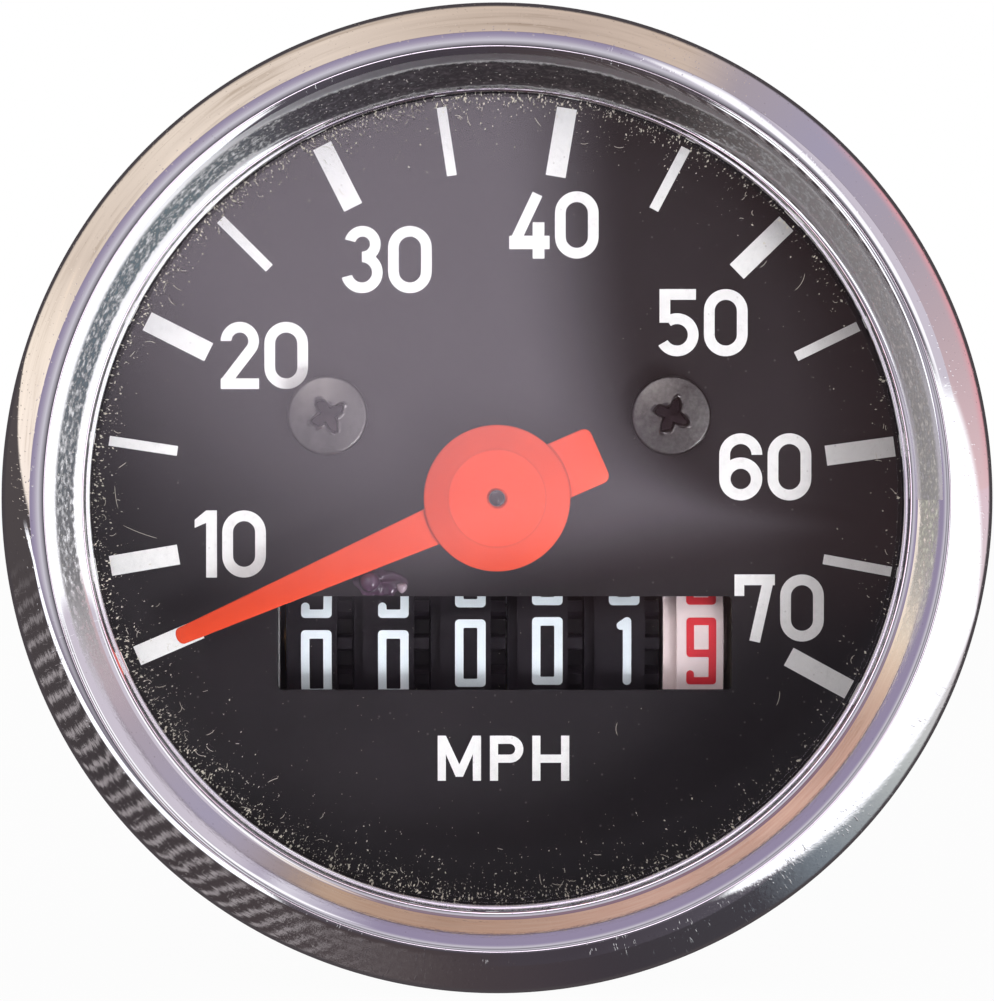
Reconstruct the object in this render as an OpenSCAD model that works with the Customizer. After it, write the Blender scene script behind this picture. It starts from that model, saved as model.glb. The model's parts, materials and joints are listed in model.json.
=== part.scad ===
// Round panel speedometer with an eddy-current drive and a six-wheel odometer.
// X points right, Z up and Y backwards, so the dial faces -Y.
// The origin lies on the dial's axis, in the plane where the bezel seats on its panel.

/* [Case] */
// Outer diameter of the case's barrel
case_d = 54; // [53:0.5:60]
// Thickness of the case's sheet
case_wall = 0.8; // [0.6:0.1:1]
// Inside radius of the rounded edge at the case's back
case_corner_r = 1.7; // [1:0.1:2]
// Width of the flange round the case's mouth
flange_w = 2.1; // [1.8:0.1:2.2]

/* [Bezel and glass] */
// How far the bezel stands out from the barrel
bezel_overhang = 3; // [2.9:0.1:4]
// Height of the bezel's crest in front of the panel
bezel_rise = 7; // [6.5:0.25:9]
// Thickness of the bezel's sheet
bezel_t = 0.6; // [0.5:0.05:0.65]
// Thickness of the glass
glass_t = 1.8; // [1.4:0.1:2]
// Thickness of the gasket between glass and bezel
gasket_t = 0.4; // [0.3:0.05:0.6]
// Width of the barrel's rim that the bezel's lip hides
sight_inset = 2.4; // [2.2:0.1:2.6]

/* [Dial] */
// Depth of the dial's face behind the panel seat
dial_setback = 2.5; // [2.4:0.1:4]
// Thickness of the dial plate
dial_t = 0.8; // [0.6:0.1:1]
// Thickness of the printed marks
print_t = 0.05; // [0.03:0.01:0.08]
// Length of a scale mark
mark_l = 4.25; // [3:0.05:4.5]
// Width of a numbered scale mark
major_w = 1.24; // [0.8:0.02:1.6]
// Width of a plain scale mark
minor_w = 0.61; // [0.3:0.01:0.9]
// Height of the figures
figure_h = 4.14; // [3:0.02:4.4]
// Width of a figure's stroke
figure_stroke = 0.66; // [0.4:0.02:0.75]
// Height of the unit lettering
unit_h = 2.78; // [2:0.02:3.2]
// Width of the unit lettering's stroke
unit_stroke = 0.5; // [0.3:0.02:0.6]
// Width of the odometer window
window_w = 28.05; // [27:0.05:28.5]
// Height of the odometer window
window_h = 5.8; // [5:0.1:6]
// Distance of the dial screws from the middle
dial_screw_x = 10.6; // [10:0.1:11.5]
// Height of the dial screws above the spindle
dial_screw_z = 5.1; // [4.8:0.1:6]
// Thread diameter of the dial screws
dial_screw_d = 2.5; // [2:0.1:3]
// Head diameter of the dial screws
dial_head_d = 4.9; // [4.4:0.1:5.2]

/* [Pointer] */
// Length of the pointer from the spindle to its tip
pointer_l = 21.4; // [18:0.1:22]
// Width of the pointer at its tip
tip_w = 1.04; // [0.6:0.02:1.4]
// Width of the pointer where it leaves the boss
root_w = 2.36; // [1.6:0.02:2.8]
// Length of the pointer's tail
tail_l = 6.86; // [5.5:0.02:7.5]
// Width of the pointer's tail
tail_w = 3.56; // [3:0.02:4]
// Diameter of the pointer's boss
boss_d = 8.96; // [8:0.02:9.6]
// Diameter of the spindle
spindle_d = 1; // [0.9:0.05:1.1]

/* [Odometer] */
// Distance from one number wheel to the next
wheel_pitch = 4.78; // [4.74:0.01:4.82]
// Diameter of the number wheels
wheel_d = 16; // [15.6:0.1:17]
// Depth of the odometer axle below the spindle
odometer_drop = 9.1; // [9:0.05:9.4]
// Diameter of the odometer axle
axle_d = 2; // [1.8:0.1:2.4]
// Diameter of the axle of the transfer pinions
pinion_axle_d = 1.5; // [1.2:0.1:1.8]

/* [Drive] */
// Diameter of the magnet
magnet_d = 18.6; // [17:0.1:19]
// Thickness of the magnet
magnet_t = 4; // [3:0.1:5]
// Gap on each side of the speed cup's wall
air_gap = 0.6; // [0.5:0.05:0.7]
// Thickness of the speed cup's sheet
cup_t = 0.4; // [0.3:0.05:0.5]
// Thickness of the flux cup's sheet
flux_t = 0.8; // [0.6:0.05:0.9]
// Diameter of the input shaft's tail
tail_shaft_d = 4.8; // [4.4:0.1:5]
// Diameter of the input shaft inside the movement
neck_d = 2.4; // [2.2:0.1:2.6]
// Side of the square socket for the cable
socket_w = 2.1; // [1.9:0.1:2.3]
// Diameter of the cross shaft
cross_d = 2; // [1.8:0.1:2.4]

/* [Frame] */
// Thickness of the front plate
plate_t = 1; // [0.8:0.1:1.2]
// Thickness of the side plates
cheek_t = 0.8; // [0.6:0.05:0.85]
// Thickness of the base casting
casting_t = 3.1; // [2.9:0.1:4]
// Diameter of the frame's pillars
pillar_d = 3; // [2.4:0.1:3.4]

/* [Rear] */
// Thread diameter of the cable nipple
nipple_d = 10; // [9.6:0.1:11]
// Length of the nipple's thread
nipple_l = 10.3; // [8:0.1:12]
// Thickness of the mounting bracket
bracket_t = 1.5; // [1.2:0.1:2]
// Width of the mounting bracket
bracket_w = 16; // [14:0.5:18]
// Room between the bezel's seat and the bracket's feet
panel_gap = 2.5; // [2.2:0.1:3]
// Thread diameter of the bracket's studs
stud_d = 4; // [3:0.1:4.4]
// Distance of a stud from the middle
stud_x = 14; // [13:0.1:15]
// Diameter of the lamp holder's body
lamp_d = 9.9; // [9:0.1:10.4]
// Height of the lamp above the spindle
lamp_z = 17.5; // [17:0.1:17.8]

/* [Hidden] */
$fn = 48;
// Clearance of everything that turns on a pin, on the radius
run = 0.05;
// Clearance of a fastener in its hole, on the radius
loose = 0.1;
// Least air between pieces that pass each other
air = 0.25;
// Pressure angle of the involute teeth
pressure = 20;

case_r = case_d / 2;
bore_r = case_r - case_wall;
bezel_r = case_r + bezel_overhang;
sight_r = case_r - sight_inset;
flange_r = case_r + flange_w;
flange_y = -(bezel_t + case_wall);
glass_y = flange_y - glass_t;
lip_y = glass_y - gasket_t;

dial_y = dial_setback;
plate_y = dial_y + dial_t;
plate_back = plate_y + plate_t;
dial_r = bore_r - 0.3;
plate_r = bore_r - 1.7;
plate_top = 11;

// The printed ring sits a little off the spindle, as on the real dial.
scale_shift = [0.27, -0.15];
full_mark = 70;
mark_r = sight_r - 0.15;
// Each figure: value, angle about the spindle, and distance inside the marks in figure heights
labels = [
    [10, 189.9, 0.846],
    [20, 148.6, 0.822],
    [30, 114.8, 0.979],
    [40, 78.2, 0.737],
    [50, 40.6, 0.882],
    [60, 6.5, 0.858],
    [70, -21.4, 0.363]
];
unit_at = [0.4, -16.1];
window_x = 0.475;
window_z = 0.1 - odometer_drop;

pointer_angle = 203.6;
pointer_front = 0.2;
pointer_t = 0.5;
pointer_back = pointer_front + pointer_t;
boss_front = -0.6;
boss_t = pointer_front - boss_front;
hub_r = spindle_d / 2 + 0.5;
stop_d = 0.9;
stop_reach = 9.2;
// Half the pointer's width at the stop, so that the blade rests on the pin
stop_half_w = (root_w + (tip_w - root_w) * (stop_reach - boss_d / 2) / (pointer_l - boss_d / 2)) / 2;
stop_side = stop_half_w + stop_d / 2 + 0.02;
stop_x = stop_reach * cos(pointer_angle) - stop_side * sin(pointer_angle);
stop_z = stop_reach * sin(pointer_angle) + stop_side * cos(pointer_angle);

// Number wheels, from the ten thousands on the left to the tenths on the right
wheel_r = wheel_d / 2;
wheel_n = 6;
first_digit_x = 0.735 - 2.5 * wheel_pitch;
digits = [0, 0, 0, 0, 1, 9];
odo_y = plate_y + 0.7 + wheel_r;
odo_z = -odometer_drop;
band_left = -1.87;
band_right = 1.27;
ring_right = 2.2;
disc_left = -2.47;
tenths_left = -1.54;
tenths_right = 1.37;
tenths_disc_left = -2.35;
wheel_bore = axle_d / 2 + run;
wheel_hub_r = wheel_bore + 1.15;
// The angle from one digit to the next
digit_step = 36;

// Transfer pinions, below and behind the wheels
ring_teeth = 20;
pinion_teeth = 8;
ring_m = (wheel_r - 1) * 2 / ring_teeth;
ring_r = ring_m * ring_teeth / 2;
pinion_r = ring_m * pinion_teeth / 2;
transfer_r = ring_r + pinion_r;
transfer_angle = -45;
pinion_y = odo_y + transfer_r * cos(transfer_angle);
pinion_z = odo_z + transfer_r * sin(transfer_angle);
lock_r = ring_r + 0.4;
notch_r = transfer_r - pinion_r - ring_m - 0.15;

// Eddy-current drive, behind the number wheels
cup_y = odo_y + wheel_r + 0.6;
cup_disc_t = cup_t + 0.1;
shaft_front = cup_y + cup_disc_t + 0.4;
magnet_y = shaft_front + 0.1;
magnet_back = magnet_y + magnet_t;
flux_disc_y = magnet_back + 0.5;
flux_back = flux_disc_y + flux_t;
magnet_r = magnet_d / 2;
cup_in = magnet_r + air_gap;
cup_out = cup_in + cup_t;
flux_in = cup_out + air_gap;
flux_out = flux_in + flux_t;
neck_r = neck_d / 2;
spindle_r = spindle_d / 2;
collet_r = spindle_r + 0.7;
spring_y = plate_back + 0.45;
spring_w = 0.5;
spring_t = 0.12;
spring_turns = 4.25;
spring_end_r = 3.6;

// Worm and wheel, then two pairs of spur gears: 32 * 5 * 6.25 = 1000 turns to one
worm_m = 0.25;
worm_r = neck_r + 0.8;
worm_teeth = 32;
worm_wheel_r = worm_m * worm_teeth / 2;
worm_turns = 3;
worm_pitch = PI * worm_m;
worm_l = worm_turns * worm_pitch;
cross_y = flux_back + 0.35 + worm_wheel_r + worm_m;
cross_z = -(worm_r + worm_wheel_r);
base_y = cross_y + worm_wheel_r + worm_m + air;
base_back = base_y + casting_t;
case_back = base_back + case_wall;
cross_teeth = 12;
big_teeth = 60;
small_teeth = 8;
drum_teeth = 50;
// The two spur pairs fill the distance from the cross shaft to the odometer axle with a slight elbow.
span = norm([cross_y - odo_y, cross_z - odo_z]);
drum_share = 0.47;
elbow = 1.017;
drum_m = 2 * span * elbow * drum_share / (drum_teeth + small_teeth);
big_m = 2 * span * elbow * (1 - drum_share) / (big_teeth + cross_teeth);
drum_centres = drum_m * (drum_teeth + small_teeth) / 2;
big_centres = big_m * (big_teeth + cross_teeth) / 2;
span_angle = atan2(cross_z - odo_z, cross_y - odo_y);
elbow_angle = acos((drum_centres ^ 2 + span ^ 2 - big_centres ^ 2) / (2 * drum_centres * span));
mesh_angle = span_angle - elbow_angle;
compound_y = odo_y + drum_centres * cos(mesh_angle);
compound_z = odo_z + drum_centres * sin(mesh_angle);
big_angle = atan2(compound_z - cross_z, compound_y - cross_y);

// Stations along the odometer axle
drum_gear_x = first_digit_x + (wheel_n - 1) * wheel_pitch + tenths_right + 0.55;
gear_w = 1.2;
drum_gear_right = drum_gear_x + gear_w;
gear_plate_x = drum_gear_right + 0.3;
gear_plate_right = gear_plate_x + cheek_t;
big_gear_x = gear_plate_right + 0.3;
big_gear_w = 1;
bridge_x = big_gear_x + big_gear_w + 0.3;
bridge_t = 0.6;
cheek_x = first_digit_x + band_left - 0.4 - cheek_t;
cheek_right = cheek_x + cheek_t;
clip_t = 0.4;
pivot_r = 0.5;
journal_r = 1;
cross_r = cross_d / 2;
lug_x = -5;
lug_w = 1.6;

// Rear fittings
nipple_r = nipple_d / 2;
neck_gap = 0.3;
bush_r = tail_shaft_d / 2 + 1;
tail_shaft_r = tail_shaft_d / 2;
strap_back = case_back + bracket_t;
thread_y = strap_back + 0.2;
nipple_end = thread_y + nipple_l;
counterbore_y = nipple_end - 5;
tail_end = nipple_end - 4;
leg_x = case_r + 0.6;
foot_y = panel_gap;
stud_r = stud_d / 2;
stud_seat = base_back - 2;
washer_t = stud_d / 4;
nut_t = stud_d * 0.8;
nut_across = stud_d * 1.75;
stud_end = strap_back + washer_t + nut_t + 2;
pillar_r = pillar_d / 2;
tenon_r = pillar_r - 0.6;
pillar_x = plate_r * 0.673;
pillars = [[-pillar_x, 8.5], [pillar_x, 8.5], [0, 2.7 - plate_r]];
case_screw_at = [[-11, -13], [11, -13]];
case_screw_r = 1.5;
lamp_r = lamp_d / 2;
lamp_flange_r = lamp_r + 0.9;
lamp_back = case_back + 0.9;
lamp_front = base_y - 3;
lamp_end = lamp_back + 4.5;
socket_r = lamp_r - 1.2;
bulb_r = 3.4;

// Turns a profile drawn as [radius, y] round the Y axis.
module turned() {
    rotate([-90, 0, 0]) rotate_extrude() children();
}

// Turns a profile drawn as [radius, x] round the X axis.
module turned_x() {
    rotate([90, 0, 90]) rotate_extrude() children();
}

// Gives a drawing in [x, z] its thickness from y0 to y1.
module slab(y0, y1) {
    translate([0, y1, 0]) rotate([90, 0, 0]) linear_extrude(height = y1 - y0) children();
}

// Gives a drawing in [y, z] its thickness from x0 to x1.
module slab_x(x0, x1) {
    translate([x0, 0, 0]) rotate([90, 0, 90]) linear_extrude(height = x1 - x0) children();
}

// A rod along Y at [x, z].
module rod(r, y0, y1, at = [0, 0]) {
    translate([at[0], y0, at[1]]) rotate([-90, 0, 0]) cylinder(r = r, h = y1 - y0);
}

// A rod along X at [y, z].
module rod_x(r, x0, x1, at = [0, 0]) {
    translate([x0, at[0], at[1]]) rotate([0, 90, 0]) cylinder(r = r, h = x1 - x0);
}

// A tube along Y.
module tube(r_out, r_in, y0, y1, at = [0, 0]) {
    difference() {
        rod(r_out, y0, y1, at);
        rod(r_in, y0 - 1, y1 + 1, at);
    }
}

// Points on an elliptic arc.
function arc(c, rx, ry, a0, a1, n) = [
    for (i = [0:n]) c + [rx * cos(a0 + (a1 - a0) * i / n), ry * sin(a0 + (a1 - a0) * i / n)]
];

// A rectangle with round corners, centred.
module rounded(w, h, r) {
    square([w - 2 * r, h], center = true);
    square([w, h - 2 * r], center = true);
    for (x = [-1, 1], z = [-1, 1]) translate([x * (w / 2 - r), z * (h / 2 - r)]) circle(r);
}

// Involute gears

// The roll angle of an involute on base radius rb, at radius r, in degrees.
function roll(rb, r) = r <= rb ? 0 : sqrt((r / rb) ^ 2 - 1) * 180 / PI - acos(rb / r);

// Half the angle that a tooth covers at radius r.
function half_tooth(z, m, slack, r) =
    let (rp = z * m / 2, rb = rp * cos(pressure))
    90 / z - slack / 2 / rp * 180 / PI + roll(rb, rp) - roll(rb, r);

// The outline of a gear, with one tooth at the angle phase.
function gear_outline(z, m, slack, phase, r_root, r_tip) =
    let (rp = z * m / 2, radii = [r_root, rp, r_tip])
    [
        for (k = [0:z - 1], s = [-1, 1], j = [0:2])
            let (r = radii[s < 0 ? j : 2 - j], a = phase + 360 * k / z + s * half_tooth(z, m, slack, r))
            r * [cos(a), sin(a)]
    ];

module gear(z, m, slack, phase, x0, x1, at, add = 1, ded = 1.25) {
    slab_x(x0, x1) translate(at)
        polygon(gear_outline(z, m, slack, phase, (z / 2 - ded) * m, (z / 2 + add) * m));
}

// Case and bezel

module case_shell() {
    outer_corner = case_corner_r + case_wall;
    color("#8d9299") difference() {
        turned() polygon(concat(
            [[bore_r, flange_y], [flange_r, flange_y], [flange_r, -bezel_t], [case_r, -bezel_t]],
            arc([case_r - outer_corner, case_back - outer_corner], outer_corner, outer_corner, 0, 90, 6),
            [[0, case_back], [0, base_back]],
            arc([bore_r - case_corner_r, base_back - case_corner_r], case_corner_r, case_corner_r, 90, 0, 6)
        ));
        rod(nipple_r + 2 * loose, base_back - 1, case_back + 1);
        rod(lamp_r + run, base_back - 1, case_back + 1, [0, lamp_z]);
        for (s = [-1, 1]) rod(stud_r + loose, base_back - 1, case_back + 1, [s * stud_x, 0]);
        for (p = case_screw_at) rod(case_screw_r + loose, base_back - 1, case_back + 1, p);
    }
}

// The rounded flank, the crest, the slope inside it, and the lip's edge down to the gasket.
module bezel() {
    slope = 37;
    flank_r = 5;
    crest_turn = 1.4;
    inset = [sin(slope), cos(slope)];
    crest = [bezel_r - flank_r + (flank_r - crest_turn) * inset[0], crest_turn - bezel_rise];
    flank = [bezel_r - flank_r, crest[1] + (flank_r - crest_turn) * inset[1]];
    top = crest - crest_turn * inset;
    foot_r = sight_r + 0.73;
    foot = [foot_r, top[1] + (top[0] - foot_r) * tan(slope)];
    color("#c9c6d2") turned() polygon(concat(
        [[case_r + 0.4, 0]],
        arc([bezel_r - 1.05, -1], 0.95, 1, 90, 0, 4),
        arc(flank, flank_r, flank_r, 0, slope - 90, 7),
        arc(crest, crest_turn, crest_turn, slope - 102, -90 - slope, 5),
        [foot, foot + [-0.45, 0.12], foot + [-0.56, 0.24]],
        [[sight_r + 0.04, lip_y - 0.15], [sight_r, lip_y - 0.1], [sight_r, lip_y]],
        [[sight_r + 1, lip_y], foot + bezel_t * inset],
        arc(crest, crest_turn - bezel_t, crest_turn - bezel_t, -90 - slope, slope - 90, 3),
        arc(flank, flank_r - bezel_t, flank_r - bezel_t, slope - 80, 0, 5),
        [[flange_r + 0.2, -bezel_t], [case_r + 0.4, -bezel_t]]
    ));
}

module bezel_gasket() {
    color("#1b1b1d") tube(flange_r - 1.1, sight_r + 0.15, lip_y, glass_y);
}

module glass_lens() {
    color("#dfe6ea", 0.3) rod(flange_r - 0.4, glass_y, flange_y);
}

module spacer_ring() {
    color("#202023") tube(bore_r - loose, bore_r - 0.9, flange_y, dial_y);
}

// Dial

module window(grow = 0) {
    translate([window_x, window_z]) rounded(window_w + 2 * grow, window_h + 2 * grow, 0.3 + grow);
}

module dial_plate() {
    color("#2b2a2e") slab(dial_y, plate_y) difference() {
        circle(dial_r);
        circle(2);
        window();
        translate([stop_x, stop_z]) circle(stop_d / 2 + loose);
        for (s = [-1, 1]) translate([s * dial_screw_x, dial_screw_z]) circle(dial_screw_d / 2 + loose);
    }
}

// A figure's strokes are ring sectors and bars, drawn from its lower left corner.
module sector(a0, a1, r) {
    polygon(concat([[0, 0]], arc([0, 0], 2 * r, 2 * r, a0, a1, 6)));
}

module ring_stroke(c, r, w, a0, a1) {
    translate(c) intersection() {
        difference() {
            circle(r);
            circle(r - w);
        }
        sector(a0, a1, r);
    }
}

// A slot with round ends about the middle line of a figure that is w wide and h high.
module stadium(w, h, r) {
    for (y = [w / 2, h - w / 2]) translate([w / 2, y]) circle(r);
    translate([w / 2 - r, w / 2]) square([2 * r, h - w]);
}

// A straight stroke from a to b with square ends.
module stroke(a, b, w) {
    translate(a) rotate(atan2(b[1] - a[1], b[0] - a[0])) translate([0, -w / 2]) square([norm(b - a), w]);
}

function figure_w(n) = figure_h * [0.65, 0.33, 0.57, 0.6, 0.6, 0.66, 0.64, 0.6][n];

module figure(n) {
    h = figure_h;
    w = figure_w(n);
    t = figure_stroke;
    if (n == 0) difference() {
        stadium(w, h, w / 2);
        stadium(w, h, w / 2 - t);
    }
    if (n == 1) {
        translate([w - t, 0]) square([t, h]);
        polygon([[w - t / 2, h * 0.85], [w - t / 2, h], [w - t, h], [0, h * 0.86], [0, h * 0.74]]);
    }
    if (n == 2) {
        r = w / 2;
        ring_stroke([r, h - r], r, t, -38, 180);
        stroke([r + (r - t / 2) * cos(-38), h - r + (r - t / 2) * sin(-38)], [t * 0.5, t * 0.7], t);
        square([w, t]);
    }
    if (n == 3) {
        r = h * 0.27;
        big = h / 2 + t / 2 - r;
        ring_stroke([w / 2, h - r], r, t, -90, 165);
        ring_stroke([w - big, big], big, t, -165, 90);
        ring_stroke([w - big, big], big, t, 195, 270);
    }
    if (n == 4) {
        translate([0, h * 0.14]) square([w, h * 0.2]);
        translate([w * 0.58, 0]) square([t * 1.1, h * 0.54]);
        stroke([w * 0.7, h - t * 0.25], [t * 0.5, h * 0.24], t);
    }
    if (n == 5) {
        r = h * 0.32;
        translate([w * 0.12, h - t]) square([w * 0.82, t]);
        translate([w * 0.12, h * 0.5]) square([t, h * 0.5]);
        ring_stroke([w - r, r], r, t, -150, 125);
        translate([w * 0.12, h * 0.5]) square([w * 0.35, t * 0.7]);
    }
    if (n == 6) {
        r = w / 2;
        ring_stroke([r, r], r, t * 1.05, 0, 181);
        ring_stroke([r, r], r, t * 1.05, 179, 361);
        ring_stroke([w * 0.5, h - r], r, t, 0, 181);
        translate([0, r]) square([t, h - 2 * r]);
    }
    if (n == 7) {
        translate([0, h - t]) square([w, t]);
        translate([0, h * 0.68]) square([t * 0.9, h * 0.32]);
        stroke([w - t * 0.6, h - t / 2], [w * 0.5, 0], t);
    }
}

module number(n) {
    tens = floor(n / 10);
    gap = figure_h * 0.08;
    full = figure_w(tens) + gap + figure_w(0);
    translate([-full / 2, -figure_h / 2]) {
        figure(tens);
        translate([figure_w(tens) + gap, 0]) figure(0);
    }
}

// The letters of miles per hour, centred.
module unit_letters() {
    h = unit_h;
    t = unit_stroke;
    m_w = h * 0.96;
    p_w = h * 0.74;
    h_w = h * 0.82;
    gap = h * 0.2;
    bowl_r = h * 0.3;
    translate([-(m_w + p_w + h_w + 2 * gap) / 2, -h / 2]) {
        for (x = [0, m_w - t]) translate([x, 0]) square([t, h]);
        polygon([
            [m_w / 2 - t * 0.45, h * 0.09], [m_w / 2 + t * 0.45, h * 0.09], [m_w, h],
            [m_w - t, h], [m_w / 2, h * 0.36], [t, h], [0, h]
        ]);
        translate([m_w + gap, 0]) {
            square([t, h]);
            translate([0, h - t]) square([p_w - bowl_r, t]);
            translate([0, h - 2 * bowl_r]) square([p_w - bowl_r, t]);
            ring_stroke([p_w - bowl_r, h - bowl_r], bowl_r, t, -90, 90);
        }
        translate([m_w + p_w + 2 * gap, 0]) {
            for (x = [0, h_w - t]) translate([x, 0]) square([t, h]);
            translate([0, h * 0.4]) square([h_w, t]);
        }
    }
}

// The angle of a mark: zero and ten sit lower left, and the rest are evenly spaced.
function mark_angle(v) = v == 0 ? 203.2 : 189.6 - (v - 10) * 3.637;

module dial_print() {
    color("#e9eaf0") slab(dial_y - print_t, dial_y) {
        for (v = [0, for (k = [10:5:full_mark]) k]) {
            w = v % 10 == 0 ? major_w : minor_w;
            translate(scale_shift) rotate(mark_angle(v)) translate([mark_r - mark_l, -w / 2])
                square([mark_l, w]);
        }
        for (p = labels) {
            label_r = mark_r - mark_l - p[2] * figure_h;
            translate(label_r * [cos(p[1]), sin(p[1])]) number(p[0]);
        }
        translate(unit_at) unit_letters();
    }
}

// A screw along Y with a domed head of radius head_r in front of y0 and a cross recess.
module cross_screw(head_r, head_t, shank_r, y0, y1, at) {
    translate([at[0], 0, at[1]]) difference() {
        turned() polygon(concat(
            [[0, y1], [shank_r, y1], [shank_r, y0], [head_r, y0]],
            arc([head_r - 0.4, y0 - 0.35], 0.4, 0.4, 0, -60, 3),
            arc([0, y0 - head_t + 0.25], head_r * 0.62, 0.25, -40, -90, 3)
        ));
        for (a = [0, 90]) rotate([0, a, 0])
            translate([-head_r * 0.6, y0 - head_t - 1, -head_r * 0.11])
                cube([head_r * 1.2, 1.75, head_r * 0.22]);
    }
}

module dial_screws() {
    color("#b9b8bd") for (s = [-1, 1]) {
        at = [s * dial_screw_x, dial_screw_z];
        cross_screw(dial_head_d / 2, 1.3, dial_screw_d / 2, dial_y, plate_back + 1, at);
    }
}

module stop_pin() {
    color("#4a474d") rod(stop_d / 2, pointer_front + 0.05, plate_back, [stop_x, stop_z]);
}

// Pointer and spindle

module pointer_blade() {
    tail_r = 0.6;
    color("#f2553f") slab(pointer_front, pointer_back) difference() {
        rotate(pointer_angle) {
            polygon(concat(
                [[0, -root_w / 2 - 0.2], [boss_d / 2, -root_w / 2]],
                arc([pointer_l - 0.3, 0], 0.3, tip_w / 2, -90, 90, 4),
                [[boss_d / 2, root_w / 2], [0, root_w / 2 + 0.2]]
            ));
            translate([(hub_r - tail_l) / 2, 0]) rounded(tail_l + hub_r, tail_w, tail_r);
        }
        circle(hub_r);
    }
}

module pointer_boss() {
    flat_r = boss_d / 3;
    color("#f0604a") turned() polygon([
        [spindle_r, boss_front], [flat_r, boss_front], [boss_d / 2, boss_front + boss_t * 0.65],
        [boss_d / 2, pointer_front], [hub_r, pointer_front], [hub_r, pointer_back + 1.2],
        [spindle_r, pointer_back + 1.2]
    ]);
}

module pointer_spindle() {
    color("#55555c") rod(spindle_r, boss_front - 0.1, shaft_front + 1.9);
}

module spindle_bush() {
    color("#b08d4a") tube(spindle_r + 1, spindle_r + run, dial_y + 0.4, plate_back + 0.2);
}

module hairspring_collet() {
    color("#b08d4a") tube(collet_r, spindle_r, spring_y - 0.15, spring_y + spring_w + 0.15);
}

// Points along a spiral whose inner end lies at radius r.
function spiral(r, n) = [
    for (i = [0:n])
        let (a = 90 + 360 * spring_turns * i / n, reach = r + (spring_end_r - collet_r) * i / n)
        reach * [cos(a), sin(a)]
];

// A flat spiral from the collet out to its stud.
module hairspring() {
    n = 68;
    inner = spiral(collet_r, n);
    outer = spiral(collet_r + spring_t, n);
    color("#9fb0c4") slab(spring_y, spring_y + spring_w)
        polygon(concat(inner, [for (i = [n:-1:0]) outer[i]]));
}

module hairspring_stud() {
    stud = spring_end_r + spring_t + 0.4;
    color("#b08d4a") rod(0.4, plate_back, spring_y + spring_w + 0.1, [-stud, 0]);
}

// Frame of the movement

module front_plate() {
    opening_left = window_x - window_w / 2 - 0.3;
    opening_right = gear_plate_x - 0.05;
    reach = wheel_r + 0.35;
    gear_half = sqrt(reach ^ 2 - (odo_y - plate_back) ^ 2) + 0.6;
    drum_half = window_h / 2 + 0.1;
    color("#9a9ba0") slab(plate_y, plate_back) difference() {
        intersection() {
            circle(plate_r);
            translate([-plate_r, -plate_r]) square([2 * plate_r, plate_r + plate_top]);
        }
        circle(spindle_r + 1);
        translate([opening_left, window_z - drum_half - 0.3])
            square([drum_gear_x - 0.3 - opening_left, 2 * drum_half + 0.3]);
        translate([drum_gear_x - 0.31, odo_z - gear_half])
            square([opening_right - drum_gear_x + 0.31, 2 * gear_half]);
        translate([stop_x, stop_z]) circle(stop_d / 2);
        for (s = [-1, 1]) translate([s * dial_screw_x, dial_screw_z]) circle(dial_screw_d / 2);
        for (p = pillars) translate(p) circle(tenon_r);
    }
}

module frame_pillars() {
    color("#a8a9ad") for (p = pillars) {
        rod(pillar_r, plate_back, base_y, p);
        rod(tenon_r, plate_y, base_y + 1.5, p);
    }
}

// The casting behind the movement, with a gap for the lamp.
module base_casting() {
    casting_r = bore_r - case_corner_r - 0.4;
    gap_r = lamp_r + 1;
    color("#9c9da1") difference() {
        rod(casting_r, base_y, base_back);
        rod(gap_r, base_y - 1, base_back + 1, [0, lamp_z]);
        translate([-gap_r, base_y - 1, lamp_z]) cube([2 * gap_r, casting_t + 2, casting_r]);
        rod(bush_r, base_y - 1, base_back + 1);
        rod(nipple_r - neck_gap, base_back - 1.2, base_back + 1);
        for (s = [-1, 1]) rod(stud_r, stud_seat, base_back + 1, [s * stud_x, 0]);
        for (p = case_screw_at) rod(case_screw_r, base_back - 2, base_back + 1, p);
        for (p = pillars) rod(tenon_r, base_y - 1, base_y + 1.5, p);
    }
}

// The threaded neck for the cable's nut, with a relief groove at its root.
module cable_nipple() {
    chamfer = 0.5;
    color("#a9a8a6") turned() polygon([
        [bush_r, base_back - 1.2], [nipple_r - neck_gap, base_back - 1.2], [nipple_r - neck_gap, thread_y],
        [nipple_r, thread_y], [nipple_r, nipple_end - chamfer], [nipple_r - chamfer, nipple_end],
        [bush_r + 0.1, nipple_end], [bush_r + 0.1, counterbore_y], [bush_r, counterbore_y]
    ]);
}

module shaft_bush() {
    color("#b5793d") tube(bush_r, tail_shaft_r + run, base_y, counterbore_y);
}

// Side plates, from the front plate backwards

module odometer_cheek() {
    front = odo_z + 3;
    tip = pinion_y + 2.2;
    color("#a2a3a8") slab_x(cheek_x, cheek_right) difference() {
        polygon([
            [plate_back, front], [odo_y + 3, front], [tip, pinion_z + 2.2], [tip, pinion_z - 1.7],
            [plate_back, pinion_z - 1.7]
        ]);
        translate([odo_y, odo_z]) circle(axle_d / 2);
        translate([pinion_y, pinion_z]) circle(pinion_axle_d / 2);
    }
}

module gear_plate() {
    color("#a2a3a8") slab_x(gear_plate_x, gear_plate_right) difference() {
        polygon([
            [plate_back, odo_z + 3], [odo_y, odo_z + 5.5], [base_y, cross_z + 2.6], [base_y, cross_z - 4],
            [pinion_y + 2.5, pinion_z - 1.7], [plate_back, pinion_z - 1.7]
        ]);
        translate([odo_y, odo_z]) circle(axle_d / 2);
        translate([pinion_y, pinion_z]) circle(pinion_axle_d / 2);
        translate([compound_y, compound_z]) circle(journal_r + run);
        translate([cross_y, cross_z]) circle(cross_r + run);
    }
}

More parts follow.
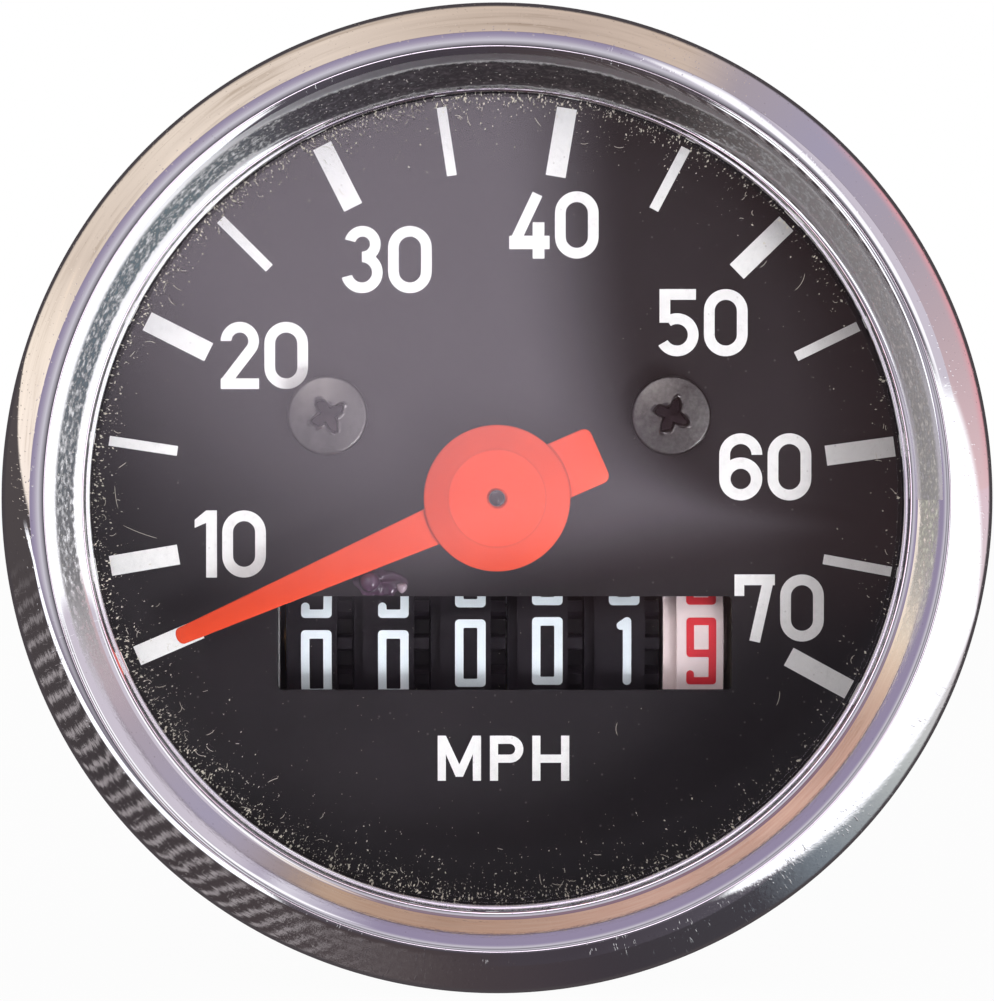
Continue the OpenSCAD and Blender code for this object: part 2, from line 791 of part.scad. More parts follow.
// The outer bearing of the gears, standing on the casting.
module gear_bridge() {
    color("#a2a3a8") slab_x(bridge_x, bridge_x + bridge_t) difference() {
        polygon([
            [compound_y - 2, compound_z + 2], [cross_y, cross_z + 2.2], [base_y, cross_z + 2.2],
            [base_y, cross_z - 3], [cross_y, cross_z - 3], [compound_y - 2, compound_z - 2]
        ]);
        translate([compound_y, compound_z]) circle(pivot_r + run);
        translate([cross_y, cross_z]) circle(pivot_r + run);
    }
}

module cross_bearing() {
    half = cross_r + 1.1;
    color("#b08d4a") difference() {
        translate([lug_x, cross_y - half, cross_z - half]) cube([lug_w, base_y - cross_y + half, 2 * half]);
        rod_x(cross_r + run, lug_x - 1, lug_x + lug_w + 1, [cross_y, cross_z]);
    }
}

module odometer_axle() {
    color("#7d7f86") rod_x(axle_d / 2, cheek_x - 2 * clip_t, gear_plate_right, [odo_y, odo_z]);
}

module axle_spacer() {
    color("#c2b48c") difference() {
        rod_x(wheel_hub_r, cheek_right, first_digit_x + band_left - 0.05, [odo_y, odo_z]);
        rod_x(axle_d / 2, cheek_right - 1, first_digit_x, [odo_y, odo_z]);
    }
}

module pinion_axle() {
    color("#7d7f86") rod_x(pinion_axle_d / 2, cheek_x - 2 * clip_t, gear_plate_right, [pinion_y, pinion_z]);
}

// Open clips that hold the two axles in the left cheek.
module axle_clip(r, at) {
    slab_x(cheek_x - clip_t, cheek_x) translate(at) difference() {
        circle(r + 1);
        circle(r);
        translate([-r * 0.7, -r - 2]) square([r * 1.4, r + 2]);
    }
}

module axle_clips() {
    color("#6d6f76") {
        axle_clip(axle_d / 2, [odo_y, odo_z]);
        axle_clip(pinion_axle_d / 2, [pinion_y, pinion_z]);
    }
}

// Rear fittings

// A U-shaped strap across the case's back, whose legs reach forward to the panel.
module mounting_bracket() {
    outer_w = 2 * (leg_x + bracket_t);
    bend_r = 2.5;
    depth = strap_back - foot_y;
    color("#aeb0b5") difference() {
        translate([0, foot_y, -bracket_w / 2]) linear_extrude(height = bracket_w) difference() {
            rounded(outer_w, 2 * depth, bend_r);
            rounded(outer_w - 2 * bracket_t, 2 * (depth - bracket_t), bend_r - bracket_t * 0.6);
            translate([-outer_w, -2 * depth]) square([2 * outer_w, 2 * depth]);
        }
        rod(nipple_r + 1, case_back - 1, strap_back + 1);
        for (s = [-1, 1]) rod(stud_r + loose, case_back - 1, strap_back + 1, [s * stud_x, 0]);
    }
}

module bracket_studs() {
    color("#b4b5ba") for (s = [-1, 1]) rod(stud_r, stud_seat, stud_end, [s * stud_x, 0]);
}

module bracket_washers() {
    color("#9b9da3") for (s = [-1, 1])
        tube(nut_across / 2 + 0.4, stud_r + loose, strap_back, strap_back + washer_t, [s * stud_x, 0]);
}

module bracket_nuts() {
    nut_y = strap_back + washer_t;
    color("#c2b370") for (s = [-1, 1]) difference() {
        translate([s * stud_x, nut_y, 0]) rotate([-90, 0, 0])
            cylinder(r = nut_across / sqrt(3), h = nut_t, $fn = 6);
        rod(stud_r, nut_y - 1, nut_y + nut_t + 1, [s * stud_x, 0]);
    }
}

module lamp_holder() {
    color("#222225") translate([0, 0, lamp_z]) turned() polygon([
        [socket_r, lamp_front], [lamp_r, lamp_front], [lamp_r, case_back], [lamp_flange_r, case_back],
        [lamp_flange_r, lamp_back], [lamp_r - 1.3, lamp_back], [lamp_r - 1.3, lamp_end],
        [0, lamp_end], [0, lamp_back - 1], [socket_r, lamp_back - 1]
    ]);
}

// A capped bulb: the cap sits in the holder and the round glass stands in front.
module lamp_bulb() {
    cap_r = socket_r;
    glass_end = lamp_front - 1;
    color("#e9e6d8") translate([0, 0, lamp_z]) turned() polygon(concat(
        [[0, lamp_back - 1], [cap_r, lamp_back - 1], [cap_r, glass_end], [bulb_r * 0.6, glass_end - 0.5]],
        arc([0, glass_end - 4.5], bulb_r, bulb_r, 50, -90, 10)
    ));
}

module lamp_terminal() {
    color("#c7a34c") translate([-2.4, lamp_end, lamp_z - 0.4]) cube([4.8, 6, 0.8]);
}

module case_screws() {
    head_t = 1.6;
    color("#b4b5ba") mirror([0, 1, 0]) for (p = case_screw_at)
        cross_screw(2.8, head_t, case_screw_r, -case_back, -(base_back - 2), p);
}

// Eddy-current drive

module speed_cup() {
    color("#c9ccd1") turned() polygon([
        [spindle_r, cup_y], [cup_out, cup_y], [cup_out, flux_disc_y - 0.3], [cup_in, flux_disc_y - 0.3],
        [cup_in, cup_y + cup_disc_t], [spindle_r, cup_y + cup_disc_t]
    ]);
}

module cup_collet() {
    color("#b08d4a") tube(spindle_r + 0.9, spindle_r, cup_y - 1.2, cup_y);
}

// Turned shaft with a pivot hole in front, a thrust collar at the casting and a square socket behind.
module input_shaft() {
    collar_y = base_y - 0.9;
    color("#85878e") difference() {
        turned() polygon([
            [0, shaft_front], [neck_r, shaft_front], [neck_r, collar_y], [tail_shaft_r + 0.6, collar_y],
            [tail_shaft_r + 0.6, base_y - 0.15], [tail_shaft_r, base_y - 0.15], [tail_shaft_r, tail_end],
            [0, tail_end]
        ]);
        rod(spindle_r + run, shaft_front - 1, shaft_front + 2.4);
        translate([-socket_w / 2, tail_end - 10, -socket_w / 2]) cube([socket_w, 11, socket_w]);
    }
}

// A single-start left-hand thread, from the radius at each angle of its cross-section.
module drive_worm() {
    tip = worm_r + worm_m;
    root = worm_r - 1.2 * worm_m;
    n = 18;
    twist_all = 360 * worm_turns;
    shape = [[0, tip], [28, tip], [122, root], [238, root], [332, tip], [360, tip]];
    slices = 12 * worm_turns;
    color("#d8d2c0") translate([0, cross_y - worm_l / 2, 0]) rotate([-90, 0, 0])
        linear_extrude(height = worm_l, twist = twist_all, slices = slices, $fn = n) difference() {
            polygon([
                for (i = [0:n - 1])
                    let (a = 360 * i / n, t = 90 + twist_all / 2 + a)
                    lookup(a, shape) * [cos(t), sin(t)]
            ]);
            circle(neck_r, $fn = n);
        }
}

module drive_magnet() {
    edge = 0.4;
    color("#5b5d63") turned() polygon([
        [neck_r, magnet_y], [magnet_r - edge, magnet_y], [magnet_r, magnet_y + edge],
        [magnet_r, magnet_back - edge], [magnet_r - edge, magnet_back], [neck_r, magnet_back]
    ]);
}

module flux_cup() {
    hub_r = neck_r + 1.4;
    rim_y = shaft_front - 0.3;
    color("#8f9097") turned() polygon([
        [neck_r, magnet_back], [hub_r, magnet_back], [hub_r, flux_disc_y], [flux_in, flux_disc_y],
        [flux_in, rim_y], [flux_out, rim_y], [flux_out, flux_back], [neck_r, flux_back]
    ]);
}

// Gear train

module cross_shaft() {
    color("#85878e") {
        rod_x(cross_r, lug_x - 0.4, big_gear_x + big_gear_w + 0.1, [cross_y, cross_z]);
        rod_x(pivot_r, big_gear_x + big_gear_w, bridge_x + bridge_t, [cross_y, cross_z]);
    }
}

module worm_wheel() {
    hub = cross_r + 0.8;
    color("#d9cfae") difference() {
        union() {
            gear(worm_teeth, worm_m, 0.12, 90 + 180 / worm_teeth, -0.6, 0.6, [cross_y, cross_z]);
            rod_x(hub, -1.6, 1.6, [cross_y, cross_z]);
        }
        rod_x(cross_r, -3, 3, [cross_y, cross_z]);
    }
}

module cross_pinion() {
    color("#c2b370") difference() {
        gear(cross_teeth, big_m, 0.09, big_angle, big_gear_x, big_gear_x + big_gear_w, [cross_y, cross_z]);
        rod_x(cross_r, big_gear_x - 1, big_gear_x + 3, [cross_y, cross_z]);
    }
}

// The large gear outside the plate, its journal in the plate and the small pinion inside.
module compound_gear() {
    at = [compound_y, compound_z];
    big_right = big_gear_x + big_gear_w;
    big_phase = big_angle + 180 + 180 / big_teeth;
    color("#d9cfae") {
        gear(small_teeth, drum_m, 0.12, mesh_angle + 180, drum_gear_x, drum_gear_right, at, 0.9, 1.3);
        rod_x(journal_r, drum_gear_right, big_gear_x, at);
        gear(big_teeth, big_m, 0.09, big_phase, big_gear_x, big_right, at, 0.8, 1.4);
        rod_x(pivot_r, big_right, bridge_x + bridge_t, at);
    }
}

module odometer_gear() {
    at = [odo_y, odo_z];
    phase = mesh_angle + 180 / drum_teeth;
    color("#e4dfd2") difference() {
        gear(drum_teeth, drum_m, 0.12, phase, drum_gear_x, drum_gear_right, at, 0.8, 1.4);
        rod_x(wheel_bore, drum_gear_x - 1, drum_gear_right + 1, at);
    }
}

// Odometer wheels

function digit_x(i) = first_digit_x + i * wheel_pitch;

// The toothed ring on a wheel's right, which the transfer pinion turns.
module tooth_ring(x0, x1) {
    at = [odo_y, odo_z];
    phase = transfer_angle + 180 / ring_teeth;
    difference() {
        union() {
            slab_x(x0, x1) translate(at)
                polygon(gear_outline(ring_teeth, ring_m, 0.15, phase, notch_r + 0.1, ring_r + ring_m / 2));
            rod_x(wheel_r - 1.05, x0 - 0.9, x0, at);
        }
        rod_x(ring_r - 1.8, x0 - 2, x1 + 1, at);
    }
}

// The disc on a wheel's left: it locks the pinion, and its two teeth carry once a turn.
module carry_disc(x0, x1, digit) {
    at = [odo_y, odo_z];
    carry = transfer_angle + digit_step * (9.5 - digit);
    slab_x(x0, x1) translate(at) difference() {
        circle(lock_r);
        for (gap = [[-4.8, 4.8], [13.5, 25], [-25, -13.5]]) rotate(carry) polygon([
            for (q = [[gap[0], notch_r], [gap[0], 9], [gap[1], 9], [gap[1], notch_r]])
                q[1] * [cos(q[0]), sin(q[0])]
        ]);
    }
}

// A drum with its web on the left, a hub and an open right side.
module drum(x0, x1, hub0, hub1) {
    web = 0.62;
    translate([0, odo_y, odo_z]) turned_x() polygon([
        [wheel_bore, hub0], [wheel_hub_r, hub0], [wheel_hub_r, x0], [wheel_r, x0], [wheel_r, x1],
        [wheel_r - 1.1, x1], [wheel_r - 1.1, x0 + web], [wheel_hub_r, x0 + web], [wheel_hub_r, hub1],
        [wheel_bore, hub1]
    ]);
}

module number_wheel(i) {
    x = digit_x(i);
    last = i == wheel_n - 1;
    left = x + (last ? tenths_left : band_left);
    right = x + (last ? tenths_right : band_right);
    disc0 = x + (last ? tenths_disc_left : disc_left);
    hub0 = i == 0 ? left : disc0;
    hub1 = last ? drum_gear_x : x + ring_right;
    difference() {
        union() {
            drum(left, right, hub0, hub1);
            if (i > 0) carry_disc(disc0, left, digits[i]);
            if (!last) tooth_ring(right, x + ring_right);
        }
        rod_x(wheel_bore, disc0 - 1, hub1 + 1, [odo_y, odo_z]);
    }
}

module tenths_wheel() {
    color("#e6dfe2") number_wheel(5);
}

module units_wheel() {
    color("#26252a") number_wheel(4);
}

module tens_wheel() {
    color("#26252a") number_wheel(3);
}

module hundreds_wheel() {
    color("#26252a") number_wheel(2);
}

module thousands_wheel() {
    color("#26252a") number_wheel(1);
}

module ten_thousands_wheel() {
    color("#26252a") number_wheel(0);
}

// A pinion between wheel i and the next: eight short teeth, of which four go on to the carry disc.
module transfer_pinion(i) {
    at = [pinion_y, pinion_z];
    x0 = digit_x(i) + band_right + 0.03;
    x1 = digit_x(i) + ring_right + 0.05;
    last = i == wheel_n - 2;
    x2 = digit_x(i + 1) + (last ? tenths_left : band_left) - 0.05;
    towards = transfer_angle + 180;
    tip = pinion_r + ring_m;
    root = pinion_r - 0.8 * ring_m;
    color("#c9bfa4") difference() {
        union() {
            slab_x(x0, x1) translate(at)
                polygon(gear_outline(pinion_teeth, ring_m, 0.15, towards, root, tip));
            slab_x(x1, x2) translate(at) {
                circle(root);
                for (k = [0:3]) rotate(towards + 45 + 90 * k) polygon([
                    for (s = [-1, 1], r = s < 0 ? [root - 0.3, pinion_r, tip] : [tip, pinion_r, root - 0.3])
                        let (a = s * half_tooth(pinion_teeth, ring_m, 0.15, r))
                        r * [cos(a), sin(a)]
                ]);
            }
        }
        rod_x(pinion_axle_d / 2 + run, x0 - 1, x2 + 1, at);
    }
}

module transfer_pinion_1() {
    transfer_pinion(4);
}

module transfer_pinion_2() {
    transfer_pinion(3);
}

module transfer_pinion_3() {
    transfer_pinion(2);
}

module transfer_pinion_4() {
    transfer_pinion(1);
}

module transfer_pinion_5() {
    transfer_pinion(0);
}

case_shell();
bezel();
bezel_gasket();
glass_lens();
spacer_ring();
dial_plate();
dial_print();
dial_screws();
stop_pin();
front_plate();
spindle_bush();
hairspring_stud();
frame_pillars();
base_casting();
cable_nipple();
shaft_bush();
odometer_cheek();
gear_plate();
gear_bridge();
cross_bearing();
odometer_axle();
axle_spacer();
pinion_axle();
axle_clips();
mounting_bracket();
bracket_studs();
bracket_washers();
bracket_nuts();
lamp_holder();
lamp_bulb();
lamp_terminal();
case_screws();
pointer_blade();
pointer_boss();
pointer_spindle();
hairspring_collet();
hairspring();
speed_cup();
cup_collet();
input_shaft();
drive_worm();
drive_magnet();
flux_cup();
cross_shaft();
worm_wheel();
cross_pinion();
compound_gear();
odometer_gear();
tenths_wheel();
units_wheel();
tens_wheel();
hundreds_wheel();
thousands_wheel();
ten_thousands_wheel();
transfer_pinion_1();
transfer_pinion_2();
transfer_pinion_3();
transfer_pinion_4();
transfer_pinion_5();
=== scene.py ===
"""Looks of the round panel speedometer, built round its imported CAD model. Metres; the dial faces -Y."""
import json
import math
import random
from functools import reduce

import bpy
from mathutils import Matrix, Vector


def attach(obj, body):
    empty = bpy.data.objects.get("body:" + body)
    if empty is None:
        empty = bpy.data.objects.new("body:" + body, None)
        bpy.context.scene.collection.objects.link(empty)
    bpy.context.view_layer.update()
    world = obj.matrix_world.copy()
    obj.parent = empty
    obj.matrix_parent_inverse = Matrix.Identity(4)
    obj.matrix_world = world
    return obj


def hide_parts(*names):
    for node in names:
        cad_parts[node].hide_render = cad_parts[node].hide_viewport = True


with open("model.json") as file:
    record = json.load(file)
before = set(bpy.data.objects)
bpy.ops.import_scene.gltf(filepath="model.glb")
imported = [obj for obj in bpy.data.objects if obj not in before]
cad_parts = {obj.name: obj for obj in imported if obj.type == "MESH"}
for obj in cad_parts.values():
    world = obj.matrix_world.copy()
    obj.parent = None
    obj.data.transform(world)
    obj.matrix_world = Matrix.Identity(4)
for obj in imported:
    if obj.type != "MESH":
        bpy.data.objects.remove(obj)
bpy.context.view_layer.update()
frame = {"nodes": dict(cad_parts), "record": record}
MM = 0.001
TAU = 2 * math.pi

# Places from the part's source, in millimetres
CASE_R, BEZEL_R, SIGHT_R, FLANGE_R = 27.0, 30.0, 24.6, 29.1
LIP_Y, CREST_Y, SHEET = -3.6, -7.0, 0.6
GLASS_FRONT, DIAL_Y, PLATE_BACK = -3.2, 2.5, 4.3
POINTER_ANGLE, BOSS_R, BOSS_FLAT_R = 203.6, 4.48, 2.99
ODO_Y, ODO_Z, WHEEL_R, WHEEL_PITCH = 12.0, -9.1, 8.0, 4.78
FIRST_DIGIT_X = 0.735 - 2.5 * WHEEL_PITCH
BASE_BACK, STRAP_BACK, THREAD_Y, NIPPLE_END = 39.1, 41.4, 41.6, 51.9
STUD_X, STUD_R = 14.0, 2.0
WASHER_T, NUT_T = 1.0, 3.2


# Meshes

def add_mesh(name, verts, faces, material, body, slot, smooth=30):
    """A mesh piece from points in millimetres, smooth where its faces meet at less than the angle smooth."""
    mesh = bpy.data.meshes.new(name)
    mesh.from_pydata([(x * MM, y * MM, z * MM) for x, y, z in verts], [], faces)
    mesh.validate()
    mesh.materials.append(material)
    piece = bpy.data.objects.new(name, mesh)
    bpy.context.scene.collection.objects.link(piece)
    if smooth:
        mesh.shade_smooth()
        mesh.set_sharp_from_angle(angle=math.radians(smooth))
    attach(piece, body)
    return piece


def revolve(rings, n, at=(0.0, 0.0), closed=True):
    """A mesh from rings round the Y axis, its faces outward.

    Each ring is (radius, y), or a function of the angle that gives them.
    """
    verts, faces = [], []
    rows = []
    for ring in rings:
        if not callable(ring) and ring[0] == 0:
            rows.append([len(verts)] * n)
            verts.append((at[0], ring[1], at[1]))
            continue
        row = []
        for i in range(n):
            a = TAU * i / n
            r, y = ring(a) if callable(ring) else ring
            row.append(len(verts))
            verts.append((at[0] + r * math.cos(a), y, at[1] + r * math.sin(a)))
        rows.append(row)
    pairs = list(zip(rows, rows[1:])) + ([(rows[-1], rows[0])] if closed else [])
    for low, high in pairs:
        for i in range(n):
            j = (i + 1) % n
            face = []
            for v in (low[i], low[j], high[j], high[i]):
                if v not in face:
                    face.append(v)
            if len(face) > 2:
                faces.append(face)
    return verts, outward(verts, faces)


def arc(c, rx, ry, a0, a1, n):
    """Points on an elliptic arc, in degrees."""
    angles = [math.radians(a0 + (a1 - a0) * i / n) for i in range(n + 1)]
    return [(c[0] + rx * math.cos(a), c[1] + ry * math.sin(a)) for a in angles]


def outward(verts, faces):
    """The faces, turned so that the closed mesh's volume is positive."""
    volume = 0
    for f in faces:
        a = Vector(verts[f[0]])
        for j in range(1, len(f) - 1):
            volume += a.dot(Vector(verts[f[j]]).cross(Vector(verts[f[j + 1]])))
    return faces if volume > 0 else [f[::-1] for f in faces]


def turned(name, rings, n, material, body, slot, smooth=30):
    return add_mesh(name, *revolve(rings, n), material, body, slot, smooth)


def merged(parts):
    """Several meshes as one list of points and one of faces."""
    verts, faces = [], []
    for v, f in parts:
        faces += [[i + len(verts) for i in face] for face in f]
        verts += v
    return verts, faces


# Materials

def feed(tree, node, **values):
    """Gives a node's inputs values or links, by name or by number after i; a name after p_ is a property."""
    for key, value in values.items():
        if key.startswith("p_"):
            setattr(node, key[2:], value)
            continue
        numbered = key[0] == "i" and key[1:].isdigit()
        socket = node.inputs[int(key[1:]) if numbered else key.replace("_", " ")]
        if isinstance(value, bpy.types.NodeSocket):
            tree.links.new(value, socket)
        else:
            socket.default_value = (*value, 1) if socket.type == "RGBA" and len(value) == 3 else value
    return node


def put(tree, kind, **values):
    return feed(tree, tree.nodes.new("ShaderNode" + kind), **values)


def maths(tree, op, a, b=0.0):
    return put(tree, "Math", p_operation=op, i0=a, i1=b).outputs[0]


def product(tree, *values):
    return reduce(lambda a, b: maths(tree, "MULTIPLY", a, b), values)


def total(tree, *values):
    return reduce(lambda a, b: maths(tree, "ADD", a, b), values)


def scaled(tree, value, k, add=0.0):
    return total(tree, product(tree, value, k), add)


def slanted(tree, value, steep, start, level):
    """A straight line that is at level where value is at start."""
    return scaled(tree, value, steep, level - steep * start)


def between(tree, value, low, high):
    """Rises smoothly from 0 to 1 as value goes from low to high."""
    kind = "SMOOTHSTEP"
    return put(tree, "MapRange", p_interpolation_type=kind, i0=value, From_Min=low, From_Max=high).outputs[0]


def within(tree, value, low, high, soft):
    """1 where a value lies from low to high, with soft edges."""
    return product(tree, between(tree, value, low - soft, low + soft), between(tree, value, high + soft, high - soft))


def spread(tree, value, low, high):
    """Takes 0 to 1 onto low to high."""
    return put(tree, "MapRange", i0=value, To_Min=low, To_Max=high).outputs[0]


def blended(tree, fac, a, b, kind="MIX"):
    return put(tree, "Mix", p_data_type="RGBA", p_blend_type=kind, i0=fac, i6=a, i7=b).outputs[2]


def ramp(tree, fac, stops):
    made = put(tree, "ValToRGB", Fac=fac)
    points = made.color_ramp.elements
    points[0].position, points[1].position = stops[0][0], stops[-1][0]
    points[0].color, points[1].color = (*stops[0][1], 1), (*stops[-1][1], 1)
    for place, colour in stops[1:-1]:
        points.new(place).color = (*colour, 1)
    return made.outputs[0]


def place(tree, stretch=(1, 1, 1)):
    """The piece's own coordinates, stretched."""
    return put(tree, "Mapping", Vector=put(tree, "TexCoord").outputs["Object"], Scale=stretch).outputs[0]


def noise(tree, scale, detail=3, rough=0.5, stretch=(1, 1, 1)):
    """Noise whose scale is in waves per metre."""
    where = place(tree, stretch)
    return put(tree, "TexNoise", Vector=where, Scale=scale, Detail=detail, Roughness=rough).outputs["Fac"]


def cells(tree, scale):
    """How far a point lies from the nearest of scattered dots."""
    return put(tree, "TexVoronoi", Vector=place(tree), Scale=scale).outputs["Distance"]


def bump(tree, height, depth, strength):
    return put(tree, "Bump", Height=height, Strength=strength, Distance=depth).outputs[0]


def material(name):
    made = bpy.data.materials.new(name)
    made.use_nodes = True
    return made, made.node_tree, made.node_tree.nodes["Principled BSDF"]


def metal(name, colour, rough, grain=3000, stretch=(1, 1, 1), stain=0.0, wear=0.06, depth=4e-6):
    """A metal with fine grain, cloudy tarnish and slightly uneven gloss."""
    made, tree, shader = material(name)
    cloud = noise(tree, 160, 4, 0.6)
    fine = noise(tree, grain, 3, 0.6, stretch)
    dark = tuple(c * (0.86 - stain) for c in colour)
    light = tuple(min(1, c * (1 + wear)) for c in colour)
    shade = ramp(tree, blended(tree, 0.45, cloud, fine), [(0.3, dark), (0.52, colour), (0.75, light)])
    feed(tree, shader, Base_Color=shade, Roughness=spread(tree, fine, rough * 0.75, min(1, rough * 1.35)),
         Normal=bump(tree, fine, depth, 0.6), Metallic=1.0)
    return made


def plastic(name, colour, rough, light=1.25, depth=3e-6, grain=2500, sheen=0.5):
    """A moulding with faint mottling and a fine matt skin."""
    made, tree, shader = material(name)
    cloud = noise(tree, 220, 4, 0.6)
    fine = noise(tree, grain, 2, 0.5)
    dark, pale = (tuple(min(1, c * k) for c in colour) for k in (0.85, light))
    feed(tree, shader, Base_Color=ramp(tree, cloud, [(0.3, dark), (0.7, pale)]),
         Roughness=spread(tree, fine, rough * 0.85, min(1, rough * 1.2)), Normal=bump(tree, fine, depth, 0.5),
         Specular_IOR_Level=sheen)
    return made


def ring_place(tree, along, across):
    """Coordinates that follow a ring round the Y axis: waves per turn along it, waves per metre across it."""
    flat = put(tree, "VectorMath", p_operation="MULTIPLY", i0=put(tree, "TexCoord").outputs["Object"], i1=(1, 0, 1))
    radius = put(tree, "VectorMath", p_operation="LENGTH", i0=flat.outputs[0]).outputs["Value"]
    unit = put(tree, "VectorMath", p_operation="NORMALIZE", i0=flat.outputs[0]).outputs[0]
    part = put(tree, "SeparateXYZ", Vector=unit).outputs
    waves = along / TAU
    where = put(tree, "CombineXYZ", X=product(tree, part[0], waves), Y=product(tree, radius, across),
                Z=product(tree, part[2], waves)).outputs[0]
    return where, radius


def ring_noise(tree, along, across, detail=2):
    where = ring_place(tree, along, across)[0]
    return put(tree, "TexNoise", Vector=where, Scale=1.0, Detail=detail, Roughness=0.6).outputs["Fac"]


def turning(tree, x, z):
    """How far round a direction in the dial's plane lies, from 0 at the right to 1, counted anticlockwise."""
    return maths(tree, "FRACT", total(tree, maths(tree, "DIVIDE", maths(tree, "ARCTAN2", z, x), TAU), 1.0))


def chrome_material():
    """Old plating: fine scratches, a dull deposit round the slope inside coloured with painted reflection, and a
    pinkish copper tint at its bottom right that is painted reflection.

    Its places are distances from the axis in metres, and turns from 0 at the right to 1, counted anticlockwise.
    """
    made, tree, shader = material("chrome_plating")
    part = put(tree, "SeparateXYZ", Vector=place(tree)).outputs
    radius = ring_place(tree, 1, 1)[1]
    turn = turning(tree, part[0], part[2])
    late = maths(tree, "FRACT", total(tree, turn, 0.1))
    pits = noise(tree, 6500, 3, 0.7)
    grime = ring_noise(tree, 420, 7000, 5)
    rubbed = ring_noise(tree, 60, 9000)
    dots = between(tree, cells(tree, 4200), 0.22, 0.10)
    hairs = product(tree, between(tree, ring_noise(tree, 1500, 1500), 0.62, 0.76),
                    between(tree, noise(tree, 330, 2), 0.46, 0.62))
    flank = between(tree, radius, 0.0273, 0.0278)
    foot, shoulder = 0.02528, 0.02645
    tint_inner_r, tint_outer_r, hairline = 0.02500, 0.02606, 0.00002

    # The deposit lies on the slope inside, wider at the top; its colour, set by the turn round the ring, is painted
    # reflection: pale at the right, near black over the top, dark bluish at the upper left
    top = within(tree, turn, 0.17, 0.33, 0.03)
    ragged = total(tree, radius, scaled(tree, grime, 0.0003, -0.00015))
    band = product(tree, between(tree, total(tree, ragged, product(tree, top, 0.0006)), foot, foot + 0.00016),
                   between(tree, total(tree, ragged, product(tree, top, 0.0002)), shoulder, shoulder - 0.0002))
    patchy = between(tree, total(tree, grime, product(tree, top, 0.2)), 0.2, 0.6)
    soiled = product(tree, band, within(tree, late, 0.06, 0.655, 0.03), patchy)
    deposit_and_reflection = ramp(tree, turn, [
        (0.0, (0.44, 0.43, 0.42)), (0.05, (0.34, 0.32, 0.33)), (0.12, (0.19, 0.17, 0.18)),
        (0.16, (0.10, 0.087, 0.088)), (0.19, (0.045, 0.036, 0.038)), (0.26, (0.038, 0.031, 0.036)),
        (0.33, (0.05, 0.045, 0.055)), (0.38, (0.08, 0.105, 0.12)), (0.44, (0.07, 0.09, 0.11)),
        (0.50, (0.075, 0.08, 0.09)), (0.56, (0.20, 0.19, 0.195)), (0.95, (0.50, 0.50, 0.45)),
    ])
    mottled = ramp(tree, grime, [(0.33, (0.35, 0.34, 0.36)), (0.5, (0.9, 0.9, 0.9)), (0.68, (2.0, 2.0, 1.97))])
    deposit_and_reflection = blended(tree, 1.0, deposit_and_reflection, mottled, "MULTIPLY")
    deposit_and_reflection = blended(tree, product(tree, dots, between(tree, grime, 0.45, 0.6)), deposit_and_reflection, (0.62, 0.60, 0.55))

    # Smeared beside the deposit from the right over the top, and rubbed on the outside at the lower right
    smeared = product(tree, within(tree, radius, 0.02510, 0.02658, 0.00004), between(tree, turn, 0.5, 0.44))
    scuffed = product(tree, flank, within(tree, turn, 0.69, 0.93, 0.04))

    # Painted reflection: a pinkish copper tint low on the right of the slope, between two thin painted dark lines
    low_right = within(tree, turn, 0.66, 0.955, 0.02)
    pink_reflection = product(tree, between(tree, radius, tint_inner_r, tint_inner_r + 0.00012),
                      between(tree, radius, tint_outer_r, tint_outer_r - 0.0001), low_right,
                      spread(tree, rubbed, 0.7, 1.15))
    lines = total(tree, within(tree, radius, tint_outer_r - 0.00004, tint_outer_r, hairline),
                  within(tree, radius, tint_inner_r + 0.00007, tint_inner_r + 0.0001, hairline))
    reflection_tint = ramp(tree, turn, [(0.64, (0.74, 0.70, 0.60)), (0.70, (0.68, 0.56, 0.50)), (0.80, (0.66, 0.48, 0.46)),
                             (0.90, (0.66, 0.46, 0.44)), (0.95, (0.80, 0.74, 0.68))])
    flecks = product(tree, between(tree, cells(tree, 1900), 0.13, 0.05), 0.3)
    colour = blended(tree, flecks, (0.90, 0.90, 0.92), (0.50, 0.46, 0.44))
    colour = blended(tree, pink_reflection, colour, reflection_tint)
    colour = blended(tree, product(tree, lines, low_right, 0.6), colour, (0.20, 0.14, 0.13))
    colour = blended(tree, soiled, colour, deposit_and_reflection)
    height = total(tree, product(tree, hairs, 0.15), product(tree, rubbed, 0.02), product(tree, pits, 0.03),
                   product(tree, band, grime, 0.35), product(tree, scuffed, noise(tree, 2400, 3, 0.6), 0.9),
                   product(tree, scuffed, hairs, 2.2),
                   product(tree, flank, between(tree, cells(tree, 2600), 0.2, 0.08), 0.5))
    rough = total(tree, spread(tree, pits, 0.02, 0.045), product(tree, soiled, 0.38), product(tree, smeared, 0.3),
                  product(tree, scuffed, 0.08))
    feed(tree, shader, Base_Color=colour, Metallic=scaled(tree, soiled, -0.8, 1.0), Roughness=rough,
         Normal=bump(tree, height, 2.4e-5, 0.5))
    return made


def glass_material():
    """Clear glass that lets lamps through."""
    made, tree, shader = material("dial_glass")
    feed(tree, shader, Base_Color=(0.97, 0.98, 1.0), Transmission_Weight=1.0, IOR=1.45, Roughness=0.0)
    clear = put(tree, "BsdfTransparent", Color=(0.96, 0.97, 0.98))
    shadow = put(tree, "LightPath").outputs["Is Shadow Ray"]
    mix = put(tree, "MixShader", i0=shadow, i1=shader.outputs[0], i2=clear.outputs[0])
    tree.links.new(mix.outputs[0], tree.nodes["Material Output"].inputs["Surface"])
    return made


